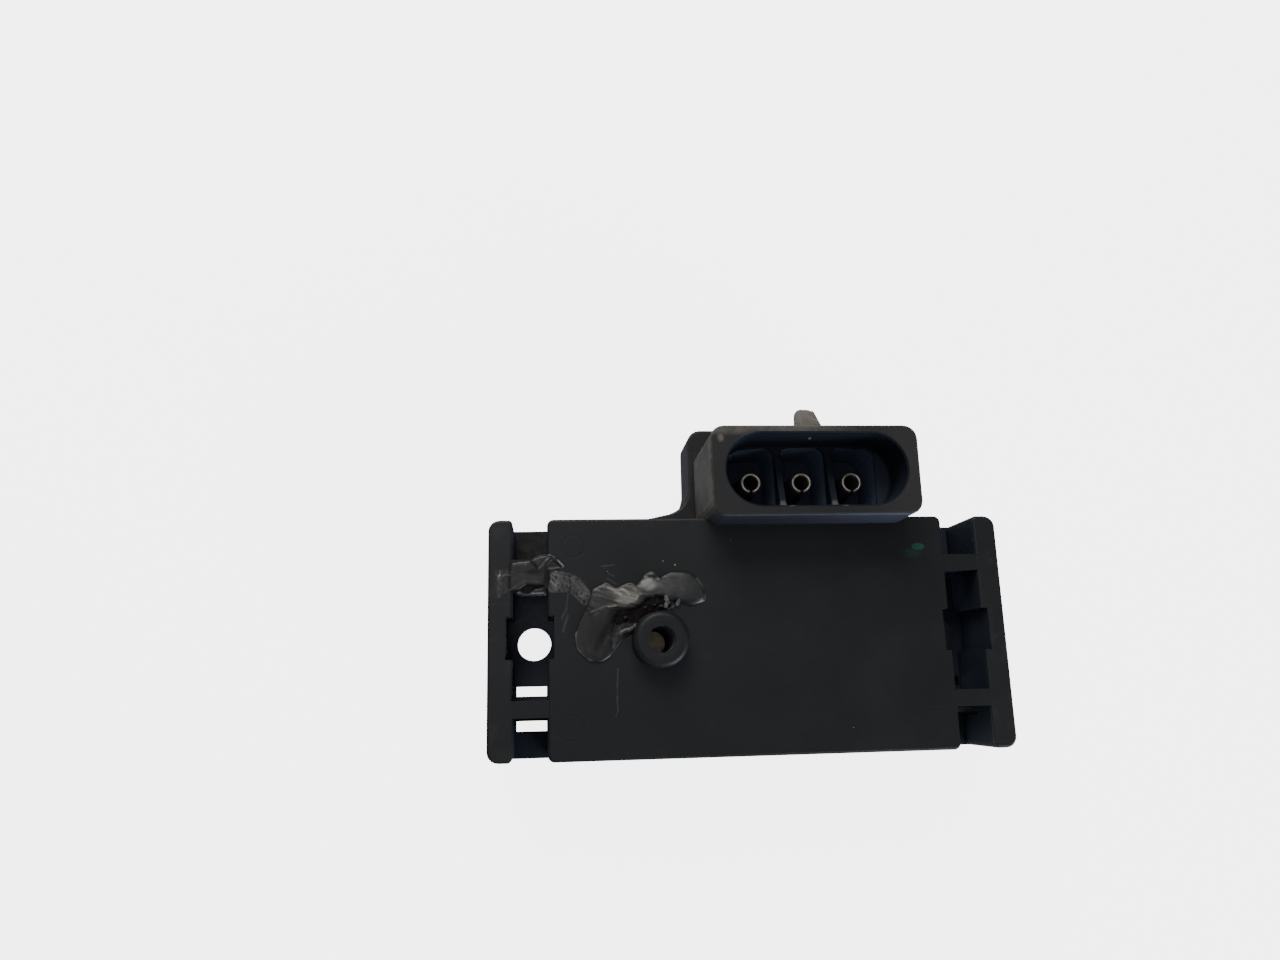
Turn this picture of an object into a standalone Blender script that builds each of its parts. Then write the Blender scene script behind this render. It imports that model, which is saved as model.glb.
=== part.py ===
"""Manifold pressure sensor: flat two-eared moulded housing, three-way socket, short pressure port.

Metres. The sensor lies on its back: Z = 0 is the rear mounting plane, +Z comes out of the front,
X runs along the long axis and +Y points to the connector side.
"""
import math

import bmesh
import bpy
from mathutils import Matrix, Vector
from mathutils.geometry import delaunay_2d_cdt

for item in list(bpy.data.objects):
    bpy.data.objects.remove(item, do_unlink=True)

MM = 0.001
GAP = 0.3
CUT = 1.0

# Overall housing
DEPTH = 17.0
EAR_SPAN = 68.0
BODY_H = 30.5
BODY_R = 0.85
EDGE = 0.3
WALL = 2.5

# Ears: rails, web, ribs, screw recesses and holes, slots
RAIL_W = 3.1
RECESS_W = 4.45
RAIL_SHORT = 0.05
RAIL_R = 1.45
RAIL_INNER_R = 0.55
WEB_FRONT = 8.0
WEB_REAR = 4.0
RIB_W = 2.15
UPPER_RIB_Y = 8.95
LOWER_RIB_Y = -8.77
POCKET_W = 6.18
POCKET_H = 5.45
POCKET_Y = 0.08
BOLT_R = 2.3
BOLT_IN = 0.4
BOLT_DOWN = 0.28
SLOT_H = 1.3
SLOT_OFF = 1.6
END_CLEAR = 0.15
SIDE_SLOT_H = 0.85
SIDE_SLOT_CUT = 2.25
SIDE_SLOT_TOP = 12.5

# Connector: base plate, shroud, socket, lock tab
CONN_X = 7.9
CONN_OVERLAP = 0.97
PLATE_FRONT = 8.5
PLATE_SIDE = 0.65
PLATE_TOP_RIM = 3.6
PLATE_R = 1.8
SHROUD_SIDE = 1.8
SHROUD_CAP = 1.15
SHROUD_R = 1.8
SHROUD_RISE = 7.0
SOCKET_SHIFT = 0.13
SOCKET_W = 23.6
SOCKET_H = 9.44
LEDGE_DROP = 7.0
FLOOR_DROP = 15.0
WELL_WEB = 0.8
WELL_R = 1.4
WELL_EASE = 0.15
KEY_RISE = 2.6
KEY_FOOT = 0.55
KEY_FOOT_H = 1.2
KEY_TOP_GAP = 1.2
TAB_W = 2.7
TAB_TAPER = 0.45
TAB_RISE = 2.9
TAB_DEPTH = 3.6
TAB_DROP = 1.2

# Terminals
PIN_PITCH = 6.96
PIN_R = 1.4
PIN_WALL = 0.38
PIN_BELOW_LEDGE = 0.9
PIN_SLIT = 0.5
TAIL_W = 1.8
TAIL_T = 0.8
TAIL_LAP = 2.2

# Rear tray, cover and sealant
COVER_T = 1.4
COVER_SINK = 0.25
STEP_W = 1.2
TRAY_MARGIN_X = 2.55
TRAY_MARGIN_Y = 2.35
CAVITY_R = 1.6
NECK_REST = 1.2
NECK_REACH = 3.4
SEAL_H = 0.6
SEAL_W = 0.9

# Pressure port and cell
PORT_X = -12.2
PORT_Y = -0.6
PORT_R = 3.5
PORT_BORE = 1.68
PORT_RISE = 3.5
PORT_EDGE = 0.75
CELL_R = 4.4
CELL_BORE = 3.2
PEDESTAL = (3.2, 0.9)
DIE = (2.4, 0.5)

# Circuit
BOARD_T = 0.8
BOARD_MARGIN_X = 2.9
BOARD_MARGIN_Y = 2.1
AMPLIFIER = (7.0, 5.0, 1.5)
CAPACITOR = (3.2, 1.7, 1.2)
RESISTOR_CHIP = (2.0, 1.25, 0.6)

# Melted repair: how far each lump stands up
EAR_MELT_H = 1.3
PATCH_H = 0.9
RIBBON_H = 1.6

FRONT = DEPTH
BODY_W = EAR_SPAN - 2 * (RAIL_W + RECESS_W)
RAIL_H = BODY_H - 2 * RAIL_SHORT
RAIL_X = (EAR_SPAN - RAIL_W) / 2
RECESS_IN = BODY_W / 2
RECESS_OUT = EAR_SPAN / 2 - RAIL_W
POCKET_X = (RECESS_IN + RECESS_OUT) / 2
BOLT_X = POCKET_X - BOLT_IN
BOLT_Y = POCKET_Y - BOLT_DOWN
UPPER_RIB = (UPPER_RIB_Y - RIB_W / 2, UPPER_RIB_Y + RIB_W / 2)
LOWER_RIB = (LOWER_RIB_Y - RIB_W / 2, LOWER_RIB_Y + RIB_W / 2)

SHROUD_FRONT = FRONT + SHROUD_RISE
LEDGE = SHROUD_FRONT - LEDGE_DROP
SOCKET_FLOOR = SHROUD_FRONT - FLOOR_DROP
SHROUD_W = SOCKET_W + 2 * SHROUD_SIDE
SHROUD_H = SOCKET_H + 2 * SHROUD_CAP
CONN_Y = BODY_H / 2 - CONN_OVERLAP + SHROUD_H / 2
SOCKET_X = CONN_X + SOCKET_SHIFT
SOCKET_Y = CONN_Y + SOCKET_SHIFT
PLATE_W = SHROUD_W + 2 * PLATE_SIDE
PLATE_TOP = CONN_Y + SHROUD_H / 2 + PLATE_TOP_RIM
PIN_TIP = LEDGE - PIN_BELOW_LEDGE
PIN_BORE = PIN_R - PIN_WALL

TRAY_FLOOR = COVER_SINK + COVER_T + SEAL_H + 2 * GAP
CAVITY_W = BODY_W - 2 * TRAY_MARGIN_X
CAVITY_H = BODY_H - 2 * TRAY_MARGIN_Y
CAVITY_TOP = DEPTH - WALL
NECK_W = 2 * (PIN_PITCH + PIN_R) + 2 * NECK_REST
NECK_TOP = CONN_Y + NECK_REACH
TAIL_Z = (TRAY_FLOOR, TRAY_FLOOR + TAIL_T)
BOARD_LOW = TAIL_Z[1] + GAP
BOARD_TOP = BOARD_LOW + BOARD_T + GAP
BOARD_W = CAVITY_W - 2 * BOARD_MARGIN_X
BOARD_H = CAVITY_H - 2 * BOARD_MARGIN_Y
TAIL_END = BOARD_H / 2 - TAIL_LAP
NECK_CEIL = TAIL_Z[1] + 3 * GAP + BOARD_T
MELT_BASE = FRONT + GAP
CENTRE_Y = (PLATE_TOP - BODY_H / 2) / 2


def principled(name, color, roughness, metallic=0.0, coat=0.0):
    mat = bpy.data.materials.new(name)
    mat.use_nodes = True
    shader = mat.node_tree.nodes["Principled BSDF"]
    shader.inputs["Base Color"].default_value = (*color, 1.0)
    shader.inputs["Roughness"].default_value = roughness
    shader.inputs["Metallic"].default_value = metallic
    shader.inputs["Coat Weight"].default_value = coat
    mat.diffuse_color = (*color, 1.0)
    return mat


def new_object(name, bm, mat=None, smooth=None):
    bmesh.ops.remove_doubles(bm, verts=bm.verts, dist=1e-6)
    bmesh.ops.recalc_face_normals(bm, faces=bm.faces)
    mesh = bpy.data.meshes.new(name)
    bm.to_mesh(mesh)
    bm.free()
    obj = bpy.data.objects.new(name, mesh)
    bpy.context.scene.collection.objects.link(obj)
    if mat:
        mesh.materials.append(mat)
    if smooth:
        mesh.shade_smooth()
        mesh.set_sharp_from_angle(angle=math.radians(smooth))
    return obj


def rounded_rect(cx, cy, w, h, r, inset=0.0, steps=5):
    """Counter-clockwise outline in millimetres; the point count does not depend on the inset."""
    w2 = w / 2 - inset
    h2 = h / 2 - inset
    rr = max(r - inset, 0.02)
    rr = min(rr, w2 - 0.001, h2 - 0.001)
    points = []
    for sx, sy, start in ((1, 1, 0), (-1, 1, 90), (-1, -1, 180), (1, -1, 270)):
        for i in range(steps + 1):
            a = math.radians(start + 90 * i / steps)
            points.append((cx + sx * (w2 - rr) + rr * math.cos(a), cy + sy * (h2 - rr) + rr * math.sin(a)))
    return points


def circle(cx, cy, r, count=36):
    angles = [2 * math.pi * i / count for i in range(count)]
    return [(cx + r * math.cos(a), cy + r * math.sin(a)) for a in angles]


def loft(rings):
    """Closed body from stacked rings of equal point count, each (outline, z) in millimetres."""
    bm = bmesh.new()
    rows = [[bm.verts.new((x * MM, y * MM, z * MM)) for x, y in outline] for outline, z in rings]
    count = len(rows[0])
    for low, high in zip(rows, rows[1:]):
        for i in range(count):
            j = (i + 1) % count
            bm.faces.new((low[i], low[j], high[j], high[i]))
    bm.faces.new(list(reversed(rows[0])))
    bm.faces.new(rows[-1])
    return bm


def slab(outline_at, z0, z1, bottom=0.0, top=0.0):
    """Prism with eased bottom and top edges; outline_at takes the inset."""
    rings = []
    if bottom:
        rings += [(outline_at(bottom), z0), (outline_at(bottom * 0.3), z0 + bottom * 0.3)]
        rings += [(outline_at(0.0), z0 + bottom)]
    else:
        rings += [(outline_at(0.0), z0)]
    if top:
        rings += [(outline_at(0.0), z1 - top), (outline_at(top * 0.3), z1 - top * 0.3)]
        rings += [(outline_at(top), z1)]
    else:
        rings += [(outline_at(0.0), z1)]
    return loft(rings)


def box(x0, x1, y0, y1, z0, z1):
    return loft([([(x0, y0), (x1, y0), (x1, y1), (x0, y1)], z) for z in (z0, z1)])


def prism(outline, z0, z1):
    return loft([(outline, z0), (outline, z1)])


def combine(base, bm, operation):
    """Apply one Boolean with a temporary body."""
    tool = new_object("tool", bm)
    tool.hide_render = True
    tool.display_type = "WIRE"
    mod = base.modifiers.new("bool", "BOOLEAN")
    mod.operation = operation
    mod.solver = "EXACT"
    mod.object = tool
    graph = bpy.context.evaluated_depsgraph_get()
    mesh = bpy.data.meshes.new_from_object(base.evaluated_get(graph))
    base.modifiers.clear()
    old = base.data
    base.data = mesh
    bpy.data.meshes.remove(old)
    bpy.data.objects.remove(tool, do_unlink=True)


def finish(obj, name, mat, smooth=32):
    mesh = obj.data
    mesh.materials.clear()
    mesh.materials.append(mat)
    for poly in mesh.polygons:
        poly.material_index = 0
    obj.name = name
    mesh.name = name
    mesh.shade_smooth()
    mesh.set_sharp_from_angle(angle=math.radians(smooth))


BLACK = principled("housing_plastic", (0.016, 0.017, 0.019), 0.48)
TIN = principled("terminal_metal", (0.50, 0.42, 0.34), 0.35, metallic=1.0)
COVER = principled("cover_plastic", (0.020, 0.020, 0.022), 0.55)
SEAL = principled("seal_silicone", (0.10, 0.10, 0.11), 0.5)
CERAMIC = principled("board_ceramic", (0.74, 0.72, 0.66), 0.45)
CUP = principled("cell_cup_plastic", (0.45, 0.40, 0.30), 0.5)
GLASS = principled("cell_glass", (0.62, 0.66, 0.64), 0.15)
SILICON = principled("cell_silicon", (0.12, 0.13, 0.16), 0.15, metallic=0.6)
GEL = principled("cell_gel", (0.30, 0.20, 0.07), 0.2)
EPOXY = principled("chip_epoxy", (0.02, 0.02, 0.02), 0.4)
CAP = principled("capacitor_ceramic", (0.42, 0.28, 0.16), 0.45)
RESISTOR = principled("resistor_film", (0.03, 0.03, 0.04), 0.35)
MELT = principled("melted_plastic", (0.05, 0.052, 0.055), 0.25, coat=0.3)
RAGGED = principled("ragged_plastic", (0.32, 0.30, 0.26), 0.85)


# The flare from the connector plate down to the box, as (out from the plate, above the box).
LEFT_FLARE = ((0.06, 5.9), (0.3, 4.9), (0.75, 3.8), (1.3, 3.1), (2.0, 2.6), (2.9, 2.2), (5.4, 1.66))
LEFT_FLARE += ((13.5, 0.04),)
RIGHT_FLARE = ((0.06, 5.0), (0.35, 3.7), (1.0, 2.4), (1.9, 1.4), (3.0, 0.7))


def connector_outline(inset=0.0):
    """Base plate behind the shroud, with a long sloping shoulder on the left and a short one on the right."""
    left = CONN_X - PLATE_W / 2 + inset
    right = CONN_X + PLATE_W / 2 - inset
    top = PLATE_TOP - inset
    edge = BODY_H / 2 - inset * 0.6
    root = BODY_H / 2 - 4 * EDGE
    r = PLATE_R - inset
    points = [(left - LEFT_FLARE[-1][0], root), (right + RIGHT_FLARE[-1][0], root)]
    points += [(right + out, edge + up) for out, up in reversed(RIGHT_FLARE)]
    for i in range(6):
        a = math.radians(90 * i / 5)
        points.append((right - r + r * math.cos(a), top - r + r * math.sin(a)))
    for i in range(6):
        a = math.radians(90 + 90 * i / 5)
        points.append((left + r + r * math.cos(a), top - r + r * math.sin(a)))
    points += [(left - out, edge + up) for out, up in LEFT_FLARE]
    return points


def body_outline(inset=0.0):
    return rounded_rect(0, 0, BODY_W, BODY_H, BODY_R, inset)


def shroud_outline(inset=0.0):
    return rounded_rect(CONN_X, CONN_Y, SHROUD_W, SHROUD_H, SHROUD_R, inset)


def well_outline(x):
    """Round-cornered well about one terminal, kept inside the round end of the socket."""
    half = SOCKET_H / 2
    points = []
    for px, py in rounded_rect(x, SOCKET_Y, PIN_PITCH - WELL_WEB, SOCKET_H - 2 * WELL_EASE, WELL_R, steps=6):
        past = max(abs(px - SOCKET_X) - SOCKET_W / 2 + half, 0.0)
        limit = math.sqrt(half ** 2 - past ** 2) - WELL_EASE
        points.append((px, SOCKET_Y + min(max(py - SOCKET_Y, -limit), limit)))
    return points


def divider(x):
    """Rib between two wells: wide foot on the lower wall, front edge falling towards the upper wall."""
    low = SOCKET_Y - SOCKET_H / 2
    high = SOCKET_Y + SOCKET_H / 2 - KEY_TOP_GAP
    half = WELL_WEB / 2
    foot = half + KEY_FOOT
    outline = [(x - foot, low - GAP), (x + foot, low - GAP), (x + foot, low), (x + half, low + KEY_FOOT_H)]
    outline += [(x + half, high), (x - half, high), (x - half, low + KEY_FOOT_H), (x - foot, low)]
    rib = prism(outline, LEDGE - CUT, LEDGE + KEY_RISE)
    for vert in rib.verts:
        if vert.co.z > LEDGE * MM:
            fall = (vert.co.y / MM - low) / (high - low)
            vert.co.z = (LEDGE + KEY_RISE * (1 - fall) + CUT * 0.02) * MM
    return rib


def port_outline(inset=0.0):
    return circle(PORT_X, PORT_Y, PORT_R - inset, 48)


def board_outline(inset=0.0):
    return rounded_rect(0.0, 0.0, BOARD_W, BOARD_H, 0.4, inset, steps=2)


def rail_outline(side):
    """Outer corners are round, inner corners nearly square."""

    def outline(inset=0.0):
        points = []
        w2 = RAIL_W / 2 - inset
        h2 = RAIL_H / 2 - inset
        for sx, sy, start in ((1, 1, 0), (-1, 1, 90), (-1, -1, 180), (1, -1, 270)):
            radius = RAIL_R if sx == side else RAIL_INNER_R
            rr = max(radius - inset, 0.05)
            for i in range(6):
                a = math.radians(start + 90 * i / 5)
                x = sx * (w2 - rr) + rr * math.cos(a)
                y = sy * (h2 - rr) + rr * math.sin(a)
                points.append((side * RAIL_X + x, y))
        return points

    return outline


def build_housing():
    body = new_object("housing", slab(body_outline, 0.0, FRONT, bottom=EDGE, top=EDGE))
    combine(body, slab(connector_outline, 0.0, PLATE_FRONT, bottom=EDGE, top=EDGE), "UNION")

    for side in (-1, 1):
        combine(body, slab(rail_outline(side), 0.0, FRONT, bottom=EDGE, top=EDGE), "UNION")
        inner = RECESS_IN - 0.6
        outer = RECESS_OUT + 0.6
        x0, x1 = sorted((side * inner, side * outer))
        web = RAIL_H / 2 - 0.02
        combine(body, box(x0, x1, -web, web, WEB_REAR, WEB_FRONT), "UNION")
        for low, high in (UPPER_RIB, LOWER_RIB):
            combine(body, box(x0, x1, low, high, 0.04, FRONT - 0.04), "UNION")

    combine(body, slab(shroud_outline, 1.0, SHROUD_FRONT, top=0.25), "UNION")

    tab = bmesh.new()
    root = CONN_Y + SHROUD_H / 2
    front = SHROUD_FRONT - TAB_DROP
    rear = front - TAB_DEPTH
    crest = root + TAB_RISE
    profile = ((root - 2 * EDGE, front), (root + EDGE / 2, front), (crest - EDGE, front - TAB_DEPTH * 0.5))
    profile += ((crest, front - TAB_DEPTH * 0.62), (crest, rear + EDGE), (root - 2 * EDGE, rear - EDGE))
    sides = []
    for side in (-1, 1):
        row = []
        for y, z in profile:
            x = CONN_X + side * (TAB_W / 2 - TAB_TAPER * (y - root) / TAB_RISE)
            row.append(tab.verts.new((x * MM, y * MM, z * MM)))
        sides.append(row)
    count = len(profile)
    for i in range(count):
        j = (i + 1) % count
        tab.faces.new((sides[0][i], sides[0][j], sides[1][j], sides[1][i]))
    tab.faces.new(sides[0])
    tab.faces.new(list(reversed(sides[1])))
    combine(body, tab, "UNION")

    combine(body, slab(port_outline, FRONT - 1.0, FRONT + PORT_RISE, top=PORT_EDGE), "UNION")

    pocket = (POCKET_Y - POCKET_H / 2, POCKET_Y + POCKET_H / 2)
    upper_slot = (LOWER_RIB_Y + SLOT_OFF, LOWER_RIB_Y + SLOT_OFF + SLOT_H)
    lower_slot = (LOWER_RIB_Y - SLOT_OFF - SLOT_H - END_CLEAR, LOWER_RIB_Y - SLOT_OFF)
    side_slot = (LOWER_RIB[0] - END_CLEAR * 2 - SIDE_SLOT_H, LOWER_RIB[0] - END_CLEAR * 2)
    for side in (-1, 1):
        x0, x1 = sorted((side * (POCKET_X - POCKET_W / 2), side * (POCKET_X + POCKET_W / 2)))
        combine(body, box(x0, x1, *pocket, WEB_FRONT, FRONT + CUT), "DIFFERENCE")
        combine(body, box(x0, x1, *pocket, -CUT, WEB_REAR), "DIFFERENCE")
        combine(body, prism(circle(side * BOLT_X, BOLT_Y, BOLT_R, 40), -CUT, FRONT + CUT), "DIFFERENCE")
        s0, s1 = sorted((side * (RECESS_IN + END_CLEAR), side * (RECESS_OUT - END_CLEAR)))
        combine(body, box(s0, s1, *upper_slot, WEB_REAR - CUT, WEB_FRONT + CUT), "DIFFERENCE")
        if side < 0:
            combine(body, box(s0, s1, *lower_slot, WEB_REAR - CUT, WEB_FRONT + CUT), "DIFFERENCE")
        else:
            deep = RECESS_OUT + SIDE_SLOT_CUT
            combine(body, box(s0, deep, *side_slot, -CUT, SIDE_SLOT_TOP), "DIFFERENCE")

    round_end = SOCKET_H / 2 - 0.01
    socket = rounded_rect(SOCKET_X, SOCKET_Y, SOCKET_W, SOCKET_H, round_end, steps=10)
    mouth = rounded_rect(SOCKET_X, SOCKET_Y, SOCKET_W + 0.5, SOCKET_H + 0.5, round_end + 0.25, steps=10)
    rim = SHROUD_FRONT - 0.25
    combine(body, loft([(socket, LEDGE), (socket, rim), (mouth, SHROUD_FRONT + 0.01)]), "DIFFERENCE")
    for i in (-1, 0, 1):
        well = well_outline(CONN_X + i * PIN_PITCH)
        combine(body, prism(well, SOCKET_FLOOR, LEDGE + CUT), "DIFFERENCE")
    for x in (CONN_X - PIN_PITCH / 2, CONN_X + PIN_PITCH / 2):
        combine(body, divider(x), "UNION")

    bore = circle(PORT_X, PORT_Y, PORT_BORE, 36)
    combine(body, prism(bore, CAVITY_TOP - CUT, FRONT + PORT_RISE + CUT), "DIFFERENCE")

    main = rounded_rect(0, 0, CAVITY_W, CAVITY_H, CAVITY_R)
    combine(body, prism(main, -CUT, CAVITY_TOP), "DIFFERENCE")
    neck_low = CAVITY_H / 2 - 1.0
    neck = (CONN_X - NECK_W / 2, CONN_X + NECK_W / 2, neck_low, NECK_TOP)
    combine(body, box(*neck, -CUT, NECK_CEIL), "DIFFERENCE")
    combine(body, prism(cover_outline(-GAP), -CUT, TRAY_FLOOR), "DIFFERENCE")

    for i in (-1, 0, 1):
        x = CONN_X + i * PIN_PITCH
        hole = prism(circle(x, CONN_Y, PIN_R + GAP, 32), NECK_CEIL - CUT, SOCKET_FLOOR + CUT)
        combine(body, hole, "DIFFERENCE")
    finish(body, "housing", BLACK)


def cover_outline(inset):
    """Rear cover: rectangle over the tray with a tongue under the connector."""
    x = CAVITY_W / 2 + STEP_W - inset
    y = CAVITY_H / 2 + STEP_W - inset
    t0 = CONN_X - NECK_W / 2 - STEP_W + inset
    t1 = CONN_X + NECK_W / 2 + STEP_W - inset
    top = NECK_TOP + STEP_W - inset
    c = 1.2
    return [
        (-x + c, -y), (x - c, -y), (x, -y + c), (x, y - c), (x - c, y), (t1, y), (t1, top - c), (t1 - c, top),
        (t0 + c, top), (t0, top - c), (t0, y), (-x + c, y), (-x, y - c), (-x, -y + c),
    ]


def build_cover():
    z0 = COVER_SINK
    z1 = z0 + COVER_T
    bm = loft([(cover_outline(0.25), z0), (cover_outline(0.0), z0 + 0.25), (cover_outline(0.0), z1)])
    new_object("rear_cover", bm, COVER, smooth=30)

    z2 = z1 + GAP
    seal = new_object("cover_seal", prism(cover_outline(0.0), z2, z2 + SEAL_H))
    combine(seal, prism(cover_outline(SEAL_W), z2 - CUT, z2 + SEAL_H + CUT), "DIFFERENCE")
    finish(seal, "cover_seal", SEAL, 30)


def build_terminal(name, x):
    base = SOCKET_FLOOR + 1.2
    outer = circle(x, CONN_Y, PIN_R, 32)
    tip = circle(x, CONN_Y, PIN_R - 0.15, 32)
    pin = new_object(name, loft([(outer, TAIL_Z[0]), (outer, PIN_TIP - 0.2), (tip, PIN_TIP)]))
    bore = loft([(circle(x, CONN_Y, PIN_BORE, 32), base), (circle(x, CONN_Y, PIN_BORE, 32), PIN_TIP + CUT)])
    combine(pin, bore, "DIFFERENCE")
    slit = box(x - PIN_SLIT / 2, x + PIN_SLIT / 2, CONN_Y - PIN_R - CUT, CONN_Y, base, PIN_TIP + CUT)
    combine(pin, slit, "DIFFERENCE")
    tail = box(x - TAIL_W / 2, x + TAIL_W / 2, TAIL_END, CONN_Y, *TAIL_Z)
    combine(pin, tail, "UNION")
    finish(pin, name, TIN, 35)


def chip(name, x, y, w, h, z0, z1, mat, ease=0.08):

    def outline(inset=0.0):
        return rounded_rect(x, y, w, h, 0.12, inset, steps=2)

    new_object(name, slab(outline, z0, z1, top=ease), mat)


def build_circuit():
    new_object("circuit_board", slab(board_outline, BOARD_LOW, BOARD_LOW + BOARD_T), CERAMIC)
    w, h, t = AMPLIFIER
    chip("amplifier_chip", BOARD_W * 0.155, BOARD_H * 0.09, w, h, BOARD_TOP, BOARD_TOP + t, EPOXY)
    w, h, t = CAPACITOR
    for i, (u, v) in enumerate(((0.345, 0.25), (0.345, -0.14), (-0.02, -0.3)), 1):
        chip("capacitor_%d" % i, BOARD_W * u, BOARD_H * v, w, h, BOARD_TOP, BOARD_TOP + t, CAP)
    w, h, t = RESISTOR_CHIP
    for i, (u, v) in enumerate(((0.12, -0.23), (0.215, -0.23), (-0.02, 0.25), (0.08, 0.36)), 1):
        chip("resistor_%d" % i, BOARD_W * u, BOARD_H * v, w, h, BOARD_TOP, BOARD_TOP + t, RESISTOR)


def build_cell():
    inner = circle(PORT_X, PORT_Y, CELL_BORE, 40)
    cup = new_object("cell_cup", prism(circle(PORT_X, PORT_Y, CELL_R, 40), BOARD_TOP, CAVITY_TOP - GAP))
    combine(cup, prism(inner, BOARD_TOP - CUT, CAVITY_TOP + CUT), "DIFFERENCE")
    finish(cup, "cell_cup", CUP, 30)
    side, tall = PEDESTAL
    chip("cell_pedestal", PORT_X, PORT_Y, side, side, BOARD_TOP, BOARD_TOP + tall, GLASS)
    low = BOARD_TOP + tall + GAP
    side, tall = DIE
    chip("cell_die", PORT_X, PORT_Y, side, side, low, low + tall, SILICON, ease=0.05)
    gel = low + tall + GAP
    outer = CELL_BORE - GAP
    rings = [(circle(PORT_X, PORT_Y, outer, 36), gel), (circle(PORT_X, PORT_Y, outer, 36), gel + 0.5)]
    rings += [(circle(PORT_X, PORT_Y, outer - 0.5, 36), gel + 0.35)]
    new_object("cell_gel", loft(rings), GEL, smooth=50)


def smooth_loop(points, steps=3):
    """Closed rounded curve through the points."""
    count = len(points)
    out = []
    for i in range(count):
        p = [Vector(points[(i + k) % count]) for k in (-1, 0, 1, 2)]
        for k in range(steps):
            t = k / steps
            a = 2 * p[1] + (p[2] - p[0]) * t
            b = (2 * p[0] - 5 * p[1] + 4 * p[2] - p[3]) * t * t
            c = (3 * p[1] - p[0] - 3 * p[2] + p[3]) * t ** 3
            out.append((a + b + c) / 2)
    return out


def edge_distance(point, loop):
    """Distance to the outline, and whether the point is inside it."""
    best = 1e9
    inside = False
    for a, b in zip(loop, loop[1:] + loop[:1]):
        run = b - a
        t = min(max((point - a).dot(run) / run.length_squared, 0.0), 1.0)
        best = min(best, (point - a - run * t).length)
        if (a.y > point.y) != (b.y > point.y):
            if point.x < a.x + (point.y - a.y) / (b.y - a.y) * (b.x - a.x):
                inside = not inside
    return best, inside


def lump(name, points, height, shoulder, crests, mat, pitch=0.6, rim=0.15, ripple=0.0):
    """Melted plastic on the front face: flat below, domed above, with crests (x, y, reach, rise)."""
    loop = smooth_loop(points)
    spots = list(loop)
    low = Vector((min(p.x for p in loop), min(p.y for p in loop)))
    high = Vector((max(p.x for p in loop), max(p.y for p in loop)))
    rows = int((high.y - low.y) / (pitch * 0.87)) + 1
    cols = int((high.x - low.x) / pitch) + 2
    for r in range(rows):
        for c in range(cols):
            spot = low + Vector(((c + 0.5 * (r % 2)) * pitch, r * pitch * 0.87))
            away, inside = edge_distance(spot, loop)
            if inside and away > pitch * 0.55:
                spots.append(spot)
    verts, _, faces, _, _, _ = delaunay_2d_cdt(spots, [], [list(range(len(loop)))], 1, 1e-7)
    bm = bmesh.new()
    tops = []
    unders = []
    for i, spot in enumerate(verts):
        away = edge_distance(spot, loop)[0]
        t = min(away / shoulder, 1.0)
        rise = rim + (height - rim) * math.sqrt(1 - (1 - t) ** 2)
        for x, y, reach, extra in crests:
            gap = ((spot.x - x) ** 2 + (spot.y - y) ** 2) / reach ** 2
            rise += extra * math.exp(-gap) * t
        rise += ripple * math.sin(3.1 * spot.x + 1.3 * spot.y) * math.cos(2.7 * spot.y - spot.x) * t
        rise = max(rise, rim)
        tops.append(bm.verts.new((spot.x * MM, spot.y * MM, (MELT_BASE + rise) * MM)))
        unders.append(bm.verts.new((spot.x * MM, spot.y * MM, MELT_BASE * MM)))
    uses = {}
    for face in faces:
        bm.faces.new([tops[i] for i in face])
        bm.faces.new([unders[i] for i in reversed(face)])
        for a, b in zip(face, face[1:] + face[:1]):
            uses[(a, b)] = True
    for a, b in uses:
        if (b, a) not in uses:
            bm.faces.new((tops[b], tops[a], unders[a], unders[b]))
    new_object(name, bm, mat, smooth=55)


# Melted repair outlines, as distances from the left end of the ear and the middle of the box.
EAR_MELT = (
    (1.0, 8.6), (2.4, 9.1), (4.4, 9.9), (6.3, 10.3), (7.6, 10.5), (8.7, 9.9), (9.2, 9.3), (7.5, 8.4),
    (7.45, 6.8), (7.5, 5.3), (5.0, 5.3), (3.0, 6.0), (1.5, 5.5), (0.9, 6.9),
)
PATCH = (
    (7.85, 7.9), (9.2, 8.3), (11.1, 8.1), (12.1, 7.2), (12.6, 6.0), (12.5, 4.8), (12.0, 4.2), (10.9, 5.2),
    (9.4, 5.8), (7.85, 5.9),
)
RIBBON = (
    (11.2, 0.6), (11.7, 2.5), (12.6, 3.9), (13.1, 5.9), (14.7, 6.5), (17.0, 6.7), (19.3, 7.0), (20.4, 8.0),
    (21.4, 8.1), (22.4, 7.7), (24.0, 8.1), (25.8, 8.0), (27.2, 6.9), (27.9, 5.3), (27.3, 4.1), (25.3, 4.0),
    (23.6, 4.9), (22.1, 5.4), (20.4, 5.0), (18.9, 4.3), (17.3, 3.3), (16.1, 2.0), (16.4, 0.9), (16.9, 0.4),
    (16.0, -1.3), (14.1, -2.9), (12.5, -2.8), (11.4, -1.6),
)


def from_ear(points):
    return [(x - EAR_SPAN / 2, y) for x, y in points]


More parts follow.
